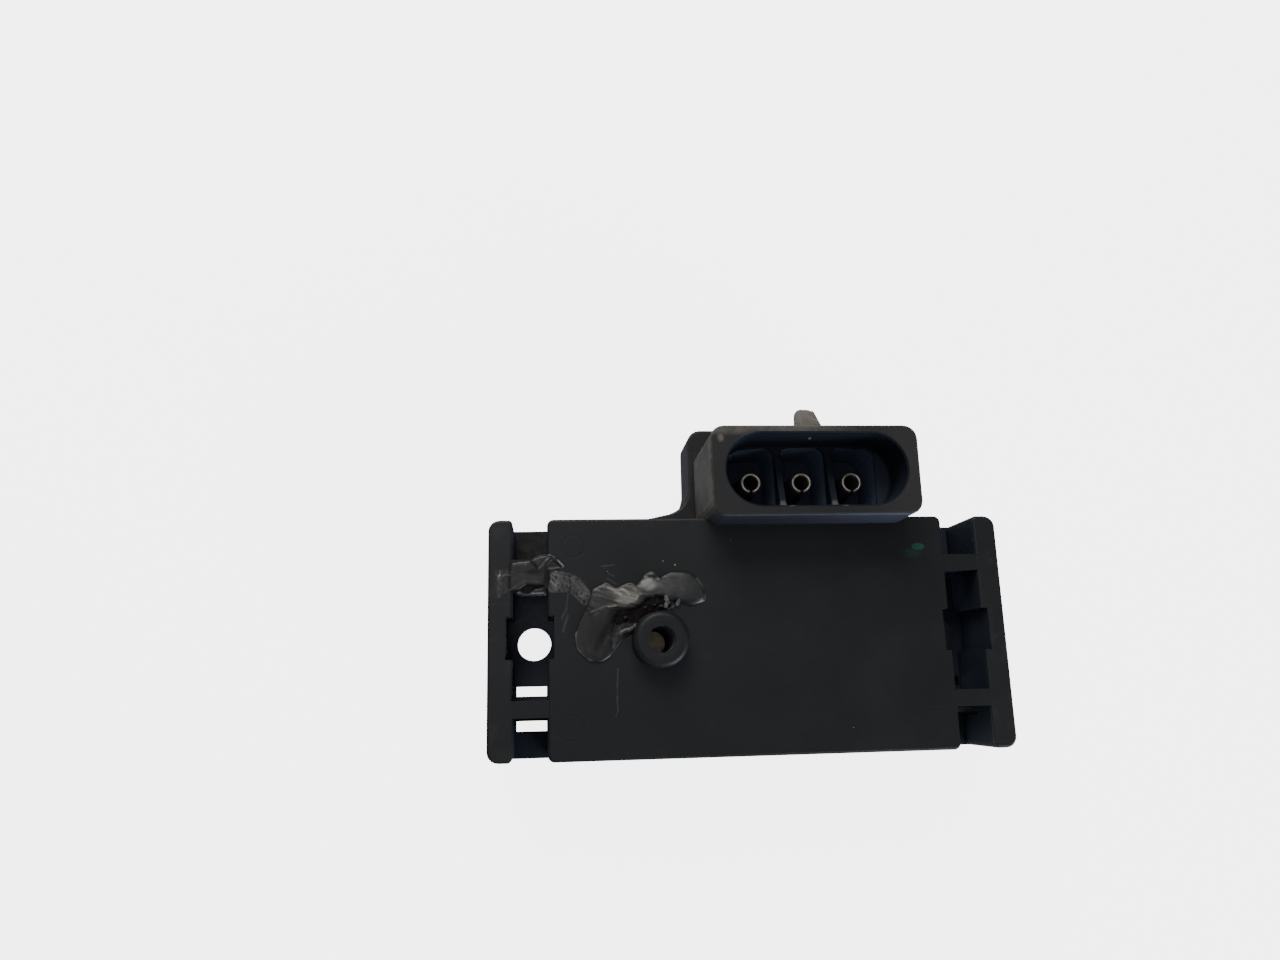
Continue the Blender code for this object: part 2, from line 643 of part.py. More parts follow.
def build_melt():
    def crest(x, y, reach, rise):
        return (x - EAR_SPAN / 2, y, reach, rise)

    peaks = (crest(7.4, 9.9, 1.0, 0.9), crest(4.5, 6.2, 1.2, -0.5))
    lump("melt_ear", from_ear(EAR_MELT), EAR_MELT_H, 1.6, peaks, MELT, ripple=0.2)
    lump("melt_patch", from_ear(PATCH), PATCH_H, 0.9, (), RAGGED, ripple=0.12)
    peaks = (crest(20.6, 7.0, 1.3, 0.6), crest(24.8, 6.3, 1.4, 0.4), crest(16.0, 5.3, 1.6, 0.5))
    peaks += (crest(13.6, -0.2, 2.0, 0.5),)
    lump("melt_ribbon", from_ear(RIBBON), RIBBON_H, 1.7, peaks, MELT, ripple=0.08)


build_housing()
build_cover()
for label, step in (("left", -1), ("centre", 0), ("right", 1)):
    build_terminal("terminal_" + label, CONN_X + step * PIN_PITCH)
build_circuit()
build_cell()
build_melt()

# The origin is the middle of the overall footprint.
for obj in bpy.data.objects:
    obj.data.transform(Matrix.Translation((0.0, -CENTRE_Y * MM, 0.0)))
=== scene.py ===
"""Manifold pressure sensor: finishes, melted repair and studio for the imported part.

Shapes and shaders are written in millimetres from the middle of the housing's box part, with heights over
the mounting plane; objects are in metres.
"""

import math
from functools import reduce

import bmesh
import bpy
import numpy as np
from bpy.props import FloatProperty, FloatVectorProperty, PointerProperty
from bpy.types import Operator, Panel, PropertyGroup
from mathutils import Euler, Matrix, Vector, noise
from mathutils.geometry import delaunay_2d_cdt


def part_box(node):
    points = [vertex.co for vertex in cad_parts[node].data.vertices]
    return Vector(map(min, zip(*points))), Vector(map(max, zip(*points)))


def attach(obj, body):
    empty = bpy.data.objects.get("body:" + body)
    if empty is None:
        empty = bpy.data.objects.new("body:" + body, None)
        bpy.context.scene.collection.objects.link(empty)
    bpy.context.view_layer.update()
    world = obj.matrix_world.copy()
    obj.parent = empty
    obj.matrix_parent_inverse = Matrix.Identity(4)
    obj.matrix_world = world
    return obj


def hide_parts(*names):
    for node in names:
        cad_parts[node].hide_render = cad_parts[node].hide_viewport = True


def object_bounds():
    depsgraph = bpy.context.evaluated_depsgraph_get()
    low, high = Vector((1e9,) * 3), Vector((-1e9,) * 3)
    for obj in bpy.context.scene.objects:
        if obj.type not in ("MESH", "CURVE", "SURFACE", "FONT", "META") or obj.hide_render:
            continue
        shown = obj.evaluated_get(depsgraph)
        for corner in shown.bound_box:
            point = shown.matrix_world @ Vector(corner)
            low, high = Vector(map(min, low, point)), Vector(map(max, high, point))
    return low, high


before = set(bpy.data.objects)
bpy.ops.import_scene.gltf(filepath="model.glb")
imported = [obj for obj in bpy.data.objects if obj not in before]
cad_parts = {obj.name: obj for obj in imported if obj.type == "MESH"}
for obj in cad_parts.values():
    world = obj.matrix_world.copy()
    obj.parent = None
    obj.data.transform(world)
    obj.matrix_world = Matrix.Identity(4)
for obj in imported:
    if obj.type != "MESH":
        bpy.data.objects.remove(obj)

bl_info = {
    "name": "Manifold pressure sensor",
    "version": (1, 0, 0),
    "blender": (4, 5, 0),
    "location": "3D View > Sidebar > Sensor",
    "description": "Finishes and repair of a flat two-eared pressure sensor",
    "category": "Object",
}

MM = 0.001
CAD_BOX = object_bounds()
BOX_HALF_HEIGHT = 15.25 * MM
MIDDLE_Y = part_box("housing")[0][1] + BOX_HALF_HEIGHT

# Heights in millimetres over the mounting plane.
SOCKET_FLOOR = 9.0
FRONT = 17.0
MELT_UNDER = 17.02
PORT_TOP = 20.5
SHROUD_RIM = 24.0

# Places in millimetres from the middle of the box part.
SOCKET_MIDDLE = (8.07, 20.28)
PORT_MIDDLE = (-12.2, -0.6)
TERMINAL_X = {"left": 0.94, "centre": 7.9, "right": 14.86}
TERMINAL_Y = 20.15
HALF_PITCH = 3.48
EAR_START = 25.5
RAIL_START = 31.95


# Shader expressions
def arithmetic(operation, reflected=False):
    """Method of two operands that adds a Math node."""

    def method(self, other):
        first, second = (other, self) if reflected else (self, other)
        return self.finish.node("ShaderNodeMath", {"operation": operation}, {0: first, 1: second})["Value"]

    return method


class Socket:
    """A shader output; arithmetic on it adds Math nodes."""

    def __init__(self, finish, output):
        self.finish = finish
        self.output = output

    __add__ = __radd__ = arithmetic("ADD")
    __sub__ = arithmetic("SUBTRACT")
    __rsub__ = arithmetic("SUBTRACT", reflected=True)
    __mul__ = __rmul__ = arithmetic("MULTIPLY")
    __truediv__ = arithmetic("DIVIDE")
    least = arithmetic("MINIMUM")
    most = arithmetic("MAXIMUM")

    def __abs__(self):
        return self.finish.node("ShaderNodeMath", {"operation": "ABSOLUTE"}, {0: self})["Value"]

    def ramp(self, low, high):
        """0 at low, 1 at high, smooth between."""
        settings = {"interpolation_type": "SMOOTHSTEP", "clamp": True}
        values = {"Value": self, "From Min": low, "From Max": high}
        return self.finish.node("ShaderNodeMapRange", settings, values)["Result"]


def most_of(amounts):
    """The largest of several shader outputs."""
    return reduce(Socket.most, amounts)


def scaled(color, times):
    """A colour made darker or lighter."""
    return tuple(times * c for c in color)


class Outputs:
    """The outputs of one node, by name or number."""

    def __init__(self, finish, node):
        self.finish = finish
        self.node = node

    def __getitem__(self, name):
        return Socket(self.finish, self.node.outputs[name])


class Finish:
    """One procedural material built from expressions."""

    def __init__(self, name, color, roughness, **fixed):
        self.material = bpy.data.materials.new(name)
        self.material.use_nodes = True
        self.material.diffuse_color = (*color, 1.0)
        self.tree = self.material.node_tree
        self.shader = self.tree.nodes["Principled BSDF"]
        self.set(base_color=(*color, 1.0), roughness=roughness, **fixed)
        here = self.node("ShaderNodeTexCoord", {}, {})["Object"]
        shifted = self.vector("SUBTRACT", here, (0.0, MIDDLE_Y, 0.0))
        self.place = self.vector("SCALE", shifted, Scale=1.0 / MM)
        split = self.node("ShaderNodeSeparateXYZ", {}, {0: self.place})
        self.x, self.y, self.z = split["X"], split["Y"], split["Z"]
        facing = self.node("ShaderNodeNewGeometry", {}, {})["Normal"]
        self.facing = self.node("ShaderNodeSeparateXYZ", {}, {0: facing})

    def set(self, **values):
        """Feed inputs of the main shader, named in lower case with underscores."""
        for label, value in values.items():
            self.feed(self.shader, label.replace("_", " ").title().replace("Ior", "IOR"), value)

    def feed(self, node, key, value):
        """Link an expression to a node's input, or set the input to a plain value."""
        target = node.inputs[key]
        if isinstance(value, Socket):
            self.tree.links.new(value.output, target)
        else:
            target.default_value = value

    def node(self, kind, settings, values):
        """Add a node with its settings and feed its inputs."""
        node = self.tree.nodes.new(kind)
        for key, value in settings.items():
            setattr(node, key, value)
        for key, value in values.items():
            self.feed(node, key, value)
        return Outputs(self, node)

    def vector(self, operation, first, second=None, output="Vector", **named):
        """Vector maths."""
        values = {0: first} if second is None else {0: first, 1: second}
        values.update(named)
        return self.node("ShaderNodeVectorMath", {"operation": operation}, values)[output]

    def mix(self, amount, first, second):
        """Colour blend; anything that is not an expression is a plain colour."""
        values = {0: amount}
        for key, value in ((6, first), (7, second)):
            values[key] = value if isinstance(value, Socket) else (*value[:3], 1.0)
        made = self.node("ShaderNodeMix", {"data_type": "RGBA", "blend_type": "MIX"}, values)
        return made[2]

    def grain(self, size, detail=2.0, rough=0.5, at=None, warp=0.0, output="Fac"):
        """Noise whose features are about size millimetres."""
        values = {"Vector": at or self.place, "Scale": 1.0 / size, "Detail": detail}
        values.update({"Roughness": rough, "Distortion": warp})
        return self.node("ShaderNodeTexNoise", {}, values)[output]

    def cells(self, size):
        """Distance to the nearest of scattered points, for pores."""
        values = {"Vector": self.place, "Scale": 1.0 / size}
        return self.node("ShaderNodeTexVoronoi", {"feature": "F1"}, values)["Distance"]

    def stretched(self, sx, sy, sz):
        """The place, scaled along each axis; below 1 draws noise out."""
        return self.vector("MULTIPLY", self.place, (sx, sy, sz))

    def from_point(self, x, y, sx=1.0, sy=1.0):
        """Distance in millimetres from a point of the front, whatever the height; sx and sy squeeze it."""
        gap = self.vector("SUBTRACT", self.place, (x, y, 0.0))
        flat = self.vector("MULTIPLY", gap, (1.0 / sx, 1.0 / sy, 0.0))
        return self.vector("LENGTH", flat, output="Value")

    def stroke(self, start, end, width, at):
        """1 on a thin line between two points of the front, 0 beyond its width."""
        run = (end[0] - start[0], end[1] - start[1], 0.0)
        gap = self.vector("MULTIPLY", self.vector("SUBTRACT", at, (*start, 0.0)), (1.0, 1.0, 0.0))
        along = self.vector("DOT_PRODUCT", gap, run, output="Value") / (run[0] ** 2 + run[1] ** 2)
        foot = self.vector("SCALE", run, Scale=along.most(0.0).least(1.0))
        away = self.vector("LENGTH", self.vector("SUBTRACT", gap, foot), output="Value")
        return 1.0 - away.ramp(width * 0.35, width)

    def bump(self, height, depth):
        """Normal of a relief whose full height is depth millimetres."""
        values = {"Height": height, "Distance": depth * MM, "Strength": 1.0}
        return self.node("ShaderNodeBump", {}, values)["Normal"]

    def dull(self, amount, color, roughness, specular, normal):
        """Mix in a matt coat where amount is 1."""
        settings = {"Base Color": color, "Roughness": roughness, "Specular IOR Level": specular}
        coat = self.node("ShaderNodeBsdfPrincipled", {}, {**settings, "Normal": normal})["BSDF"]
        skin = Outputs(self, self.shader)["BSDF"]
        mixer = self.node("ShaderNodeMixShader", {}, {0: amount, 1: skin, 2: coat})
        self.feed(self.tree.nodes["Material Output"], "Surface", mixer["Shader"])


# Settings
def colour(name, description, default):
    words = {"name": name, "description": description, "subtype": "COLOR"}
    return FloatVectorProperty(default=default, size=3, min=0.0, max=1.0, **words)


def share(name, description, default, most=1.0):
    words = {"name": name, "description": description, "subtype": "FACTOR"}
    return FloatProperty(default=default, min=0.0, max=most, **words)


def length(name, description, default):
    words = {"name": name, "description": description, "subtype": "DISTANCE", "unit": "LENGTH"}
    return FloatProperty(default=default, min=0.0, **words)


class HousingLook(PropertyGroup):
    plastic: colour("Plastic", "Colour of the moulded housing", (0.0082, 0.0087, 0.0102))
    socket: colour("Socket", "Colour of the clean plastic inside the socket", (0.0125, 0.0150, 0.0215))
    dust: colour("Dust", "Colour of the dust on the connector and in the corners", (0.210, 0.190, 0.155))
    soil: colour("Soil", "Colour of the dirt caught in the ears", (0.036, 0.032, 0.028))
    paint: colour("Paint mark", "Colour of the small inspection mark", (0.012, 0.066, 0.048))
    roughness: share("Roughness", "Roughness of the clean plastic", 0.50)
    dust_amount: share("Dust amount", "How much dust shows", 1.0, 2.0)


class TerminalLook(PropertyGroup):
    metal: colour("Metal", "Colour of the plated tubes", (0.86, 0.78, 0.66))
    # Painted shade for the tubes below their tips.
    painted_tube_shade: colour("Painted tube shade", "Colour of the tubes deep in the socket", (0.085, 0.066, 0.075))
    radius: length("Radius", "Outer radius of the tubes", 1.40 * MM)
    wall: length("Wall", "Wall of the tubes", 0.42 * MM)
    tip: length("Tip", "Height of the tubes over the mounting plane", 16.1 * MM)


class RepairLook(PropertyGroup):
    dark: colour("Dark melt", "Colour of the smooth melted plastic", (0.0110, 0.0112, 0.0120))
    middle: colour("Grey melt", "Colour of the stretched plastic", (0.052, 0.052, 0.049))
    # The pale colour also carries the painted highlights of the melt.
    pale: colour("Pale melt", "Colour of the whitened plastic", (0.275, 0.265, 0.228))
    # Colour of scorch, also used for painted shade on the melt.
    burnt_and_shaded: colour("Burnt and shaded melt", "Colour of the scorched hollow", (0.0098, 0.0080, 0.0080))
    pitch: length("Mesh pitch", "Spacing of the mesh over the melted plastic", 0.12 * MM)


class StudioLook(PropertyGroup):
    floor: colour("Floor", "Colour of the floor", (0.86, 0.86, 0.86))
    glow: share("Floor glow", "Light that the lit floor gives back", 5.0, 20.0)
    lens: FloatProperty(name="Lens", description="Focal length", default=27.0, min=10.0, unit="CAMERA")
    power: share("Light", "Multiplies every lamp", 1.0, 10.0)


class SensorSettings(PropertyGroup):
    housing: PointerProperty(type=HousingLook)
    terminals: PointerProperty(type=TerminalLook)
    repair: PointerProperty(type=RepairLook)
    studio: PointerProperty(type=StudioLook)


# Making pieces
def paint_node(name, material):
    """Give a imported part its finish."""
    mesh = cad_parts[name].data
    mesh.materials.clear()
    mesh.materials.append(material)


def to_metres(points):
    """Row of (x, y, z) in millimetres from the middle of the box to metres in the frame."""
    return [(x * MM, y * MM + MIDDLE_Y, z * MM) for x, y, z in points]


def to_mesh(name, bm, material):
    """Mesh with one material; the working mesh is freed."""
    mesh = bpy.data.meshes.new(name)
    bm.to_mesh(mesh)
    bm.free()
    mesh.materials.append(material)
    return mesh


def add_object(name, data):
    """Object in the scene for a mesh, lamp or camera."""
    made = bpy.data.objects.new(name, data)
    bpy.context.scene.collection.objects.link(made)
    return made


def add_piece(name, bm, material, smooth, replaced=()):
    """Object for the visual; edges sharper than smooth degrees stay sharp."""
    bmesh.ops.recalc_face_normals(bm, faces=bm.faces)
    mesh = to_mesh(name, bm, material)
    mesh.shade_smooth()
    mesh.set_sharp_from_angle(angle=math.radians(smooth))
    piece = add_object(name, mesh)
    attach(piece, "root")
    if replaced:
        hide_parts(*replaced)


def revolve(bm, profile, cx, cy, count=96, start=0.0, sweep=360.0):
    """Rings of (radius, z) round an upright axis; a part sweep is closed into a C section."""
    whole = sweep >= 360.0
    rows = []
    for i in range(count if whole else count + 1):
        a = math.radians(start + sweep * i / count)
        row = to_metres([(cx + r * math.cos(a), cy + r * math.sin(a), z) for r, z in profile])
        rows.append([bm.verts.new(co) for co in row])
    for one, two in zip(rows, rows[1:] + rows[:1] if whole else rows[1:]):
        for k in range(len(profile) - 1):
            bm.faces.new((one[k], two[k], two[k + 1], one[k + 1]))
        if not whole:
            bm.faces.new((one[-1], two[-1], two[0], one[0]))
    if not whole:
        bm.faces.new(rows[0])
        bm.faces.new(rows[-1][::-1])


def rounded(points, steps, closed=True):
    """Smooth curve through the points."""
    base = [Vector(p) for p in points]
    if not closed:
        base = [base[0] * 2 - base[1]] + base + [base[-1] * 2 - base[-2]]
    count = len(base)
    out = []
    for i in range(count) if closed else range(1, count - 2):
        p = [base[(i + k) % count] for k in (-1, 0, 1, 2)]
        for k in range(steps):
            t = k / steps
            a = 2 * p[1] + (p[2] - p[0]) * t
            b = (2 * p[0] - 5 * p[1] + 4 * p[2] - p[3]) * t * t
            c = (3 * p[1] - p[0] - 3 * p[2] + p[3]) * t ** 3
            out.append((a + b + c) / 2)
    if not closed:
        out.append(base[-2])
    return np.array([tuple(v) for v in out])


def from_path(spots, path, closed=False):
    """Distance to a path, length along it and side, for each spot."""
    nodes = np.vstack([path, path[:1]]) if closed else path
    start, end = nodes[:-1], nodes[1:]
    run = end - start
    size = np.maximum((run ** 2).sum(1), 1e-12)
    gap = spots[:, None, :] - start[None]
    t = np.clip((gap * run[None]).sum(2) / size, 0, 1)
    off = gap - run[None] * t[:, :, None]
    away = np.sqrt((off ** 2).sum(2))
    near = away.argmin(1)
    rows = np.arange(len(spots))
    steps = np.sqrt(size)
    before = np.concatenate([[0.0], np.cumsum(steps)[:-1]])
    along = before[near] + t[rows, near] * steps[near]
    side = np.sign(run[near, 0] * off[rows, near, 1] - run[near, 1] * off[rows, near, 0])
    return away[rows, near], along, side


def inside(spots, loop):
    """Whether each spot lies inside a loop."""
    x, y = spots[:, 0], spots[:, 1]
    odd = np.zeros(len(spots), bool)
    for (ax, ay), (bx, by) in zip(loop, np.roll(loop, -1, 0)):
        cross = (ay > y) != (by > y)
        reach = ax + (y - ay) / (by - ay if by != ay else 1e-9) * (bx - ax)
        odd ^= cross & (x < reach)
    return odd


def ease(value, low, high):
    """0 at low, 1 at high, smooth between."""
    t = np.clip((value - low) / (high - low), 0, 1)
    return t * t * (3 - 2 * t)


def ripples(spots, size, seed, sx=1.0):
    """Soft noise of about the given size; sx below 1 stretches it along x."""
    return np.array([noise.noise((x * sx / size, y / size, seed)) for x, y in spots]) * 1.6


def hex_grid(low, high, pitch):
    """Spots in staggered rows over a box."""
    grid = []
    for k, y in enumerate(np.arange(low[1], high[1], pitch * 0.866)):
        xs = np.arange(low[0] + (k % 2) * pitch / 2, high[0], pitch)
        grid.append(np.stack([xs, np.full(len(xs), y)], 1))
    return np.vstack(grid)


def add_marks(bm):
    """Layers that carry the tone and the dark matt mark, scorch together with painted shade, of melted
    plastic.
    """
    return [bm.verts.layers.float.new(label) for label in ("tone", "burn_and_shade")]


def melt_sheet(name, outline, pitch, shape, material, node):
    """Fine mesh over an outline; shape gives the height, the tone and the dark matt mark of scorch and
    painted shade at each spot.
    """
    loop = rounded(outline, 8)
    grid = hex_grid(loop.min(0), loop.max(0), pitch)
    grid = grid[inside(grid, loop)]
    grid = grid[from_path(grid, loop, True)[0] > pitch * 0.6]
    spots = [Vector(p) for p in loop] + [Vector(p) for p in grid]
    spots, _, faces, _, _, _ = delaunay_2d_cdt(spots, [], [list(range(len(loop)))], 1, 1e-7)
    spots = np.array([tuple(p) for p in spots])
    height, tone, burn_and_shade = shape(spots, from_path(spots, loop, True)[0])
    bm = bmesh.new()
    marks = add_marks(bm)
    tops = [bm.verts.new(co) for co in to_metres([(x, y, FRONT + h) for (x, y), h in zip(spots, height)])]
    unders = [bm.verts.new(co) for co in to_metres([(x, y, MELT_UNDER) for x, y in spots])]
    for row in (tops, unders):
        for vert, t, b in zip(row, tone, burn_and_shade):
            vert[marks[0]] = float(t)
            vert[marks[1]] = float(b)
    sides = set()
    for face in faces:
        bm.faces.new([tops[i] for i in face])
        bm.faces.new([unders[i] for i in reversed(face)])
        sides.update(zip(face, face[1:] + face[:1]))
    for a, b in sides:
        if (b, a) not in sides:
            bm.faces.new((tops[b], tops[a], unders[a], unders[b]))
    add_piece(name, bm, material, 70, (node,))


# Housing: rings are (x, y, radius), scratches (start, end, width) and specks (x, y, size).
EJECTOR_RINGS = ((-23.05, 11.65, 1.45), (-23.5, -11.19, 1.55), (32.4, 9.0, 1.05))
SCRATCHES = (
    ((-17.62, -4.0), (-17.68, -6.4), 0.15), ((-17.68, -6.4), (-17.72, -7.5), 0.07),
    ((-17.7, -7.5), (-17.72, -9.2), 0.15), ((-17.72, -9.2), (-17.95, -10.0), 0.08),
    ((-23.75, 6.0), (-24.0, 4.0), 0.13), ((-24.0, 3.8), (-24.6, 2.35), 0.2),
    ((-23.85, 2.75), (-24.5, 0.85), 0.22), ((-19.38, 9.05), (-18.6, 9.17), 0.16),
    ((-18.6, 9.17), (-17.8, 9.2), 0.14), ((-18.55, 8.03), (-17.91, 7.83), 0.17),
    ((-18.63, 7.36), (-17.54, 6.76), 0.19), ((-19.09, 7.11), (-18.97, 6.75), 0.18),
)
SCRATCH_SHIFT = 0.17
SPECKS = (
    (-11.43, 9.6, 0.12), (-9.87, 9.06, 0.16), (-18.66, 8.32, 0.1), (12.4, -12.1, 0.08), (-2.3, 12.2, 0.07),
)
SCRATCH_GREY = (0.075, 0.075, 0.072)
SPECK_GREY = (0.20, 0.19, 0.17)
HAIRLINE_GREY = (0.10, 0.10, 0.10)
# Painted bluish sheen for the shroud's underside.
UNDERSIDE_PAINTED_SHEEN = (0.033, 0.037, 0.058)
# Paler front edge of the shroud: partly rubbed wear, partly painted highlight.
RUBBED_EDGE_AND_HIGHLIGHT = (0.085, 0.095, 0.115)

# Painted light and shade where little light falls, in the socket, the ears' bays and the port's bore; plain
# numbers are multiples of the clean socket plastic.
WELL_FLOOR, WELL_WALL, LEDGE, RIGHT_LEDGE, SOCKET_WALL, MOUTH = 5.0, 15.0, 1.6, 3.8, 1.7, 1.3
KEY_RIB_TIP = (0.125, 0.130, 0.135)
LEFT_BAY_WALL = (0.045, 0.045, 0.055)
LEFT_FLOOR_LOW, LEFT_FLOOR_HIGH = (0.055, 0.057, 0.078), (0.19, 0.19, 0.245)
UPPER_LEFT_FLOOR = (0.022, 0.021, 0.020)
PORT_BORE_PAINTED_LIGHT = (0.130, 0.115, 0.125)


class HousingFinish(Finish):
    """Moulded black plastic with its dust, dirt and marks, and painted light and shade in its hollows, low on
    the left of the front and on the shroud's underside.
    """

    def __init__(self, look):
        super().__init__("moulded_black_plastic", look.plastic, look.roughness, specular_ior_level=0.34)
        self.look = look
        self.mottled = self.grain(9.0, 3.0)
        self.patches = self.grain(3.2, 4.0, 0.6, warp=0.6)
        self.cloud = self.patches.ramp(0.36, 0.62)
        self.fine = self.grain(0.30, 3.0, 0.6)
        self.pores = self.cells(0.55)
        self.up = self.facing["Z"].ramp(0.5, 0.9)
        self.down = 0.0 - self.facing["Y"]
        self.front = self.z.ramp(16.6, 16.95) * (1.0 - self.z.ramp(17.1, 17.4))
        beyond = abs(self.x - SOCKET_MIDDLE[0]).ramp(12.0, 12.3)
        above = abs(self.y - SOCKET_MIDDLE[1]).ramp(5.0, 5.2)
        within_rim = 1.0 - self.z.ramp(SHROUD_RIM - 0.07, SHROUD_RIM - 0.01)
        self.socket = (1.0 - beyond) * (1.0 - above) * within_rim * self.z.ramp(8.6, 8.9)

        dust, soil = self.dust(), self.soil()
        base = self.mix(dust, self.plastic(), look.dust)
        corner = (1.0 - self.from_point(-6.6, 15.3, sx=1.6, sy=1.2).ramp(0.3, 1.0)) * self.cloud * 0.8
        base = self.mix(soil.most(corner * (1.0 - self.z.ramp(9.5, 12.0))), base, look.soil)
        base = self.inspection_mark(self.underside_sheen_and_rubbed_edge(base))
        lines, specks = self.scratches(), self.specks()
        base = self.mix(lines * 0.55, base, SCRATCH_GREY)
        base = self.mix(specks * self.front, base, SPECK_GREY)
        hair = self.grain(1.0, 1.0, at=self.stretched(0.05, 2.4, 0.3)).ramp(0.70, 0.74)
        base = self.mix(hair * self.front * 0.04, base, HAIRLINE_GREY)
        rings, discs = self.ejector_rings()
        base = self.mix((rings * 0.35).most(discs * 0.15), base, scaled(look.plastic, 0.5))

        rough = (self.fine - 0.5) * 0.10 + (self.mottled - 0.5) * 0.14 + look.roughness
        rough = rough + dust * 0.45 + lines * 0.15 - self.socket * 0.04 + discs * 0.05
        height = self.fine * (0.55 + dust * 1.6) + self.pores * 0.25
        normal = self.bump(height - lines * 1.2 - rings * 1.1 + specks * 3.0, 0.014)
        self.set(base_color=base, roughness=rough.least(0.95).most(0.15), normal=normal)
        # The socket, the ears' bays and the bore take a matt coat whose colour is painted light and shade,
        # with the dirt mixed in.
        shaded, tone = self.recess_painted_light(soil)
        self.dull(shaded, self.mix(soil, tone, look.soil), 0.7, 0.03, normal)

    def plastic(self):
        """Mottled plastic with painted shade low on the left of the front, bluish inside the socket."""
        look = self.look
        dark, light, dull = (scaled(look.plastic, times) for times in (0.88, 1.15, 0.62))
        base = self.mix(self.mottled.ramp(0.35, 0.7), dark, light)
        # Painted shade: low on the left, the front turns towards the darker dull colour.
        painted_shade_low_left = self.front * (1.0 - self.y.ramp(-9.0, 2.0)) * (1.0 - self.x.ramp(-6.0, 10.0))
        base = self.mix(painted_shade_low_left * 0.55, base, dull)
        return self.mix(self.socket, base, look.socket)

    def dust(self):
        """Dust on the shroud's rim and left flank, the lock tab, the plate and the rails."""
        x, y, z, cloud = self.x, self.y, self.z, self.cloud
        top_band = y.ramp(24.4, 25.4) * (1.0 - x.ramp(9.5, 15.5)) * z.ramp(22.5, 23.8)
        left_band = (1.0 - x.ramp(-5.6, -4.4)) * (0.0 - self.facing["X"]).ramp(-0.1, 0.4)
        streaks = self.grain(1.0, 4.0, 0.6, at=self.stretched(0.8, 1.4, 0.30)).ramp(0.40, 0.65)
        tab = (1.0 - abs(x - 8.0).ramp(1.4, 1.9)) * y.ramp(25.6, 26.2) * z.ramp(16.0, 17.5)
        chip = self.from_point(-4.35, 24.35, sx=0.75) + (self.fine - 0.5) * 0.5 + (self.patches - 0.5) * 1.2
        rim_veil = z.ramp(23.6, 23.95) * (0.034 + x.ramp(12.0, 21.0) * 0.055)
        on_shroud = (
            top_band * (0.10 + cloud * 0.34), left_band * (0.04 + cloud * 0.05 + streaks * 0.06),
            tab * (0.20 + cloud * 0.30), (1.0 - chip.ramp(0.4, 1.05)) * 0.5, rim_veil,
        )
        shroud = y.ramp(14.0, 14.3) * z.ramp(8.9, 9.2) * x.ramp(-8.4, -7.6) * (1.0 - self.socket)
        dust = most_of(on_shroud) * shroud * self.look.dust_amount * (0.72 + self.fine * 0.5)
        plate = y.ramp(14.9, 15.4) * (1.0 - z.ramp(8.9, 9.2)) * self.up * (0.01 + cloud * 0.02)
        rail = abs(x).ramp(30.8, 31.0) * self.front * (0.01 + self.patches.ramp(0.5, 0.72) * 0.04)
        scuff = self.front * (self.patches.ramp(0.58, 0.8) * 0.02)
        return most_of((dust.least(1.0), plate, rail, scuff))

    def soil(self):
        """Dirt on the webs of the ears, most in the upper left one."""
        web = abs(self.x).ramp(26.3, 26.6) * (1.0 - self.z.ramp(8.2, 9.4)) * self.up
        upper_left = (1.0 - self.x.ramp(-26.4, -26.0)) * self.y.ramp(9.9, 10.4)
        spread = 0.35 + self.grain(0.9, 3.0).ramp(0.4, 0.65) * 0.65
        return web * (upper_left * 0.45 + 0.12) * spread

    def underside_sheen_and_rubbed_edge(self, base):
        """The shroud's underside gets a painted bluish sheen, lighter to the right, and its front edge a
        paler line, partly rubbed wear and partly painted highlight.
        """
        # Painted sheen: faces under the shroud that look down and forward turn bluish and lighter, more so to
        # the right.
        under = self.down.ramp(0.4, 0.8) * self.z.ramp(17.2, 17.6) * (1.0 - self.y.ramp(14.8, 15.2))
        under = under * self.x.ramp(-7.5, -6.0) * (0.25 + self.x.ramp(2.0, 19.0) * 0.6)
        base = self.mix(under, base, UNDERSIDE_PAINTED_SHEEN)
        # The front edge's paler line is partly rubbed wear and partly a painted highlight.
        edge = self.z.ramp(23.35, 23.6) * self.down.ramp(0.15, 0.5) * (1.0 - self.y.ramp(14.6, 15.0))
        edge = edge * (1.0 - self.facing["Y"].ramp(-0.95, -0.85))
        rubbed_and_highlit = edge * (0.35 + self.x.ramp(6.0, 18.0) * 0.4 + (self.patches - 0.5) * 0.5)
        return self.mix(rubbed_and_highlit.most(0.0).least(1.0), base, RUBBED_EDGE_AND_HIGHLIGHT)

    def inspection_mark(self, base):
        """Green mark with a faint smear beside it."""
        mark = 1.0 - self.from_point(23.0, 11.1, sy=0.55).ramp(0.70, 1.0)
        mark = mark * (0.55 + self.pores.ramp(0.1, 0.45) * 0.45)
        smear = 1.0 - self.from_point(21.9, 10.2, sx=1.9, sy=0.9).ramp(0.1, 1.0)
        smear = smear * self.patches.ramp(0.35, 0.6) * 0.5
        return self.mix(mark.most(smear) * self.front, base, self.look.paint)

    def scratches(self):
        """Scratches and drag marks on the front."""
        waver = self.vector("SCALE", self.grain(0.8, 2.0, output="Color"), Scale=0.35)
        at = self.vector("ADD", self.place, waver)
        lines = []
        for start, end, width in SCRATCHES:
            begin, stop = ((x + SCRATCH_SHIFT, y + SCRATCH_SHIFT) for x, y in (start, end))
            lines.append(self.stroke(begin, stop, width, at))
        return most_of(lines) * self.front * (0.35 + self.fine * 0.6)

    def specks(self):
        """Pale dots, at every height."""
        spots = (1.0 - self.from_point(x, y).ramp(size * 0.5, size) for x, y, size in SPECKS)
        return most_of(spots)

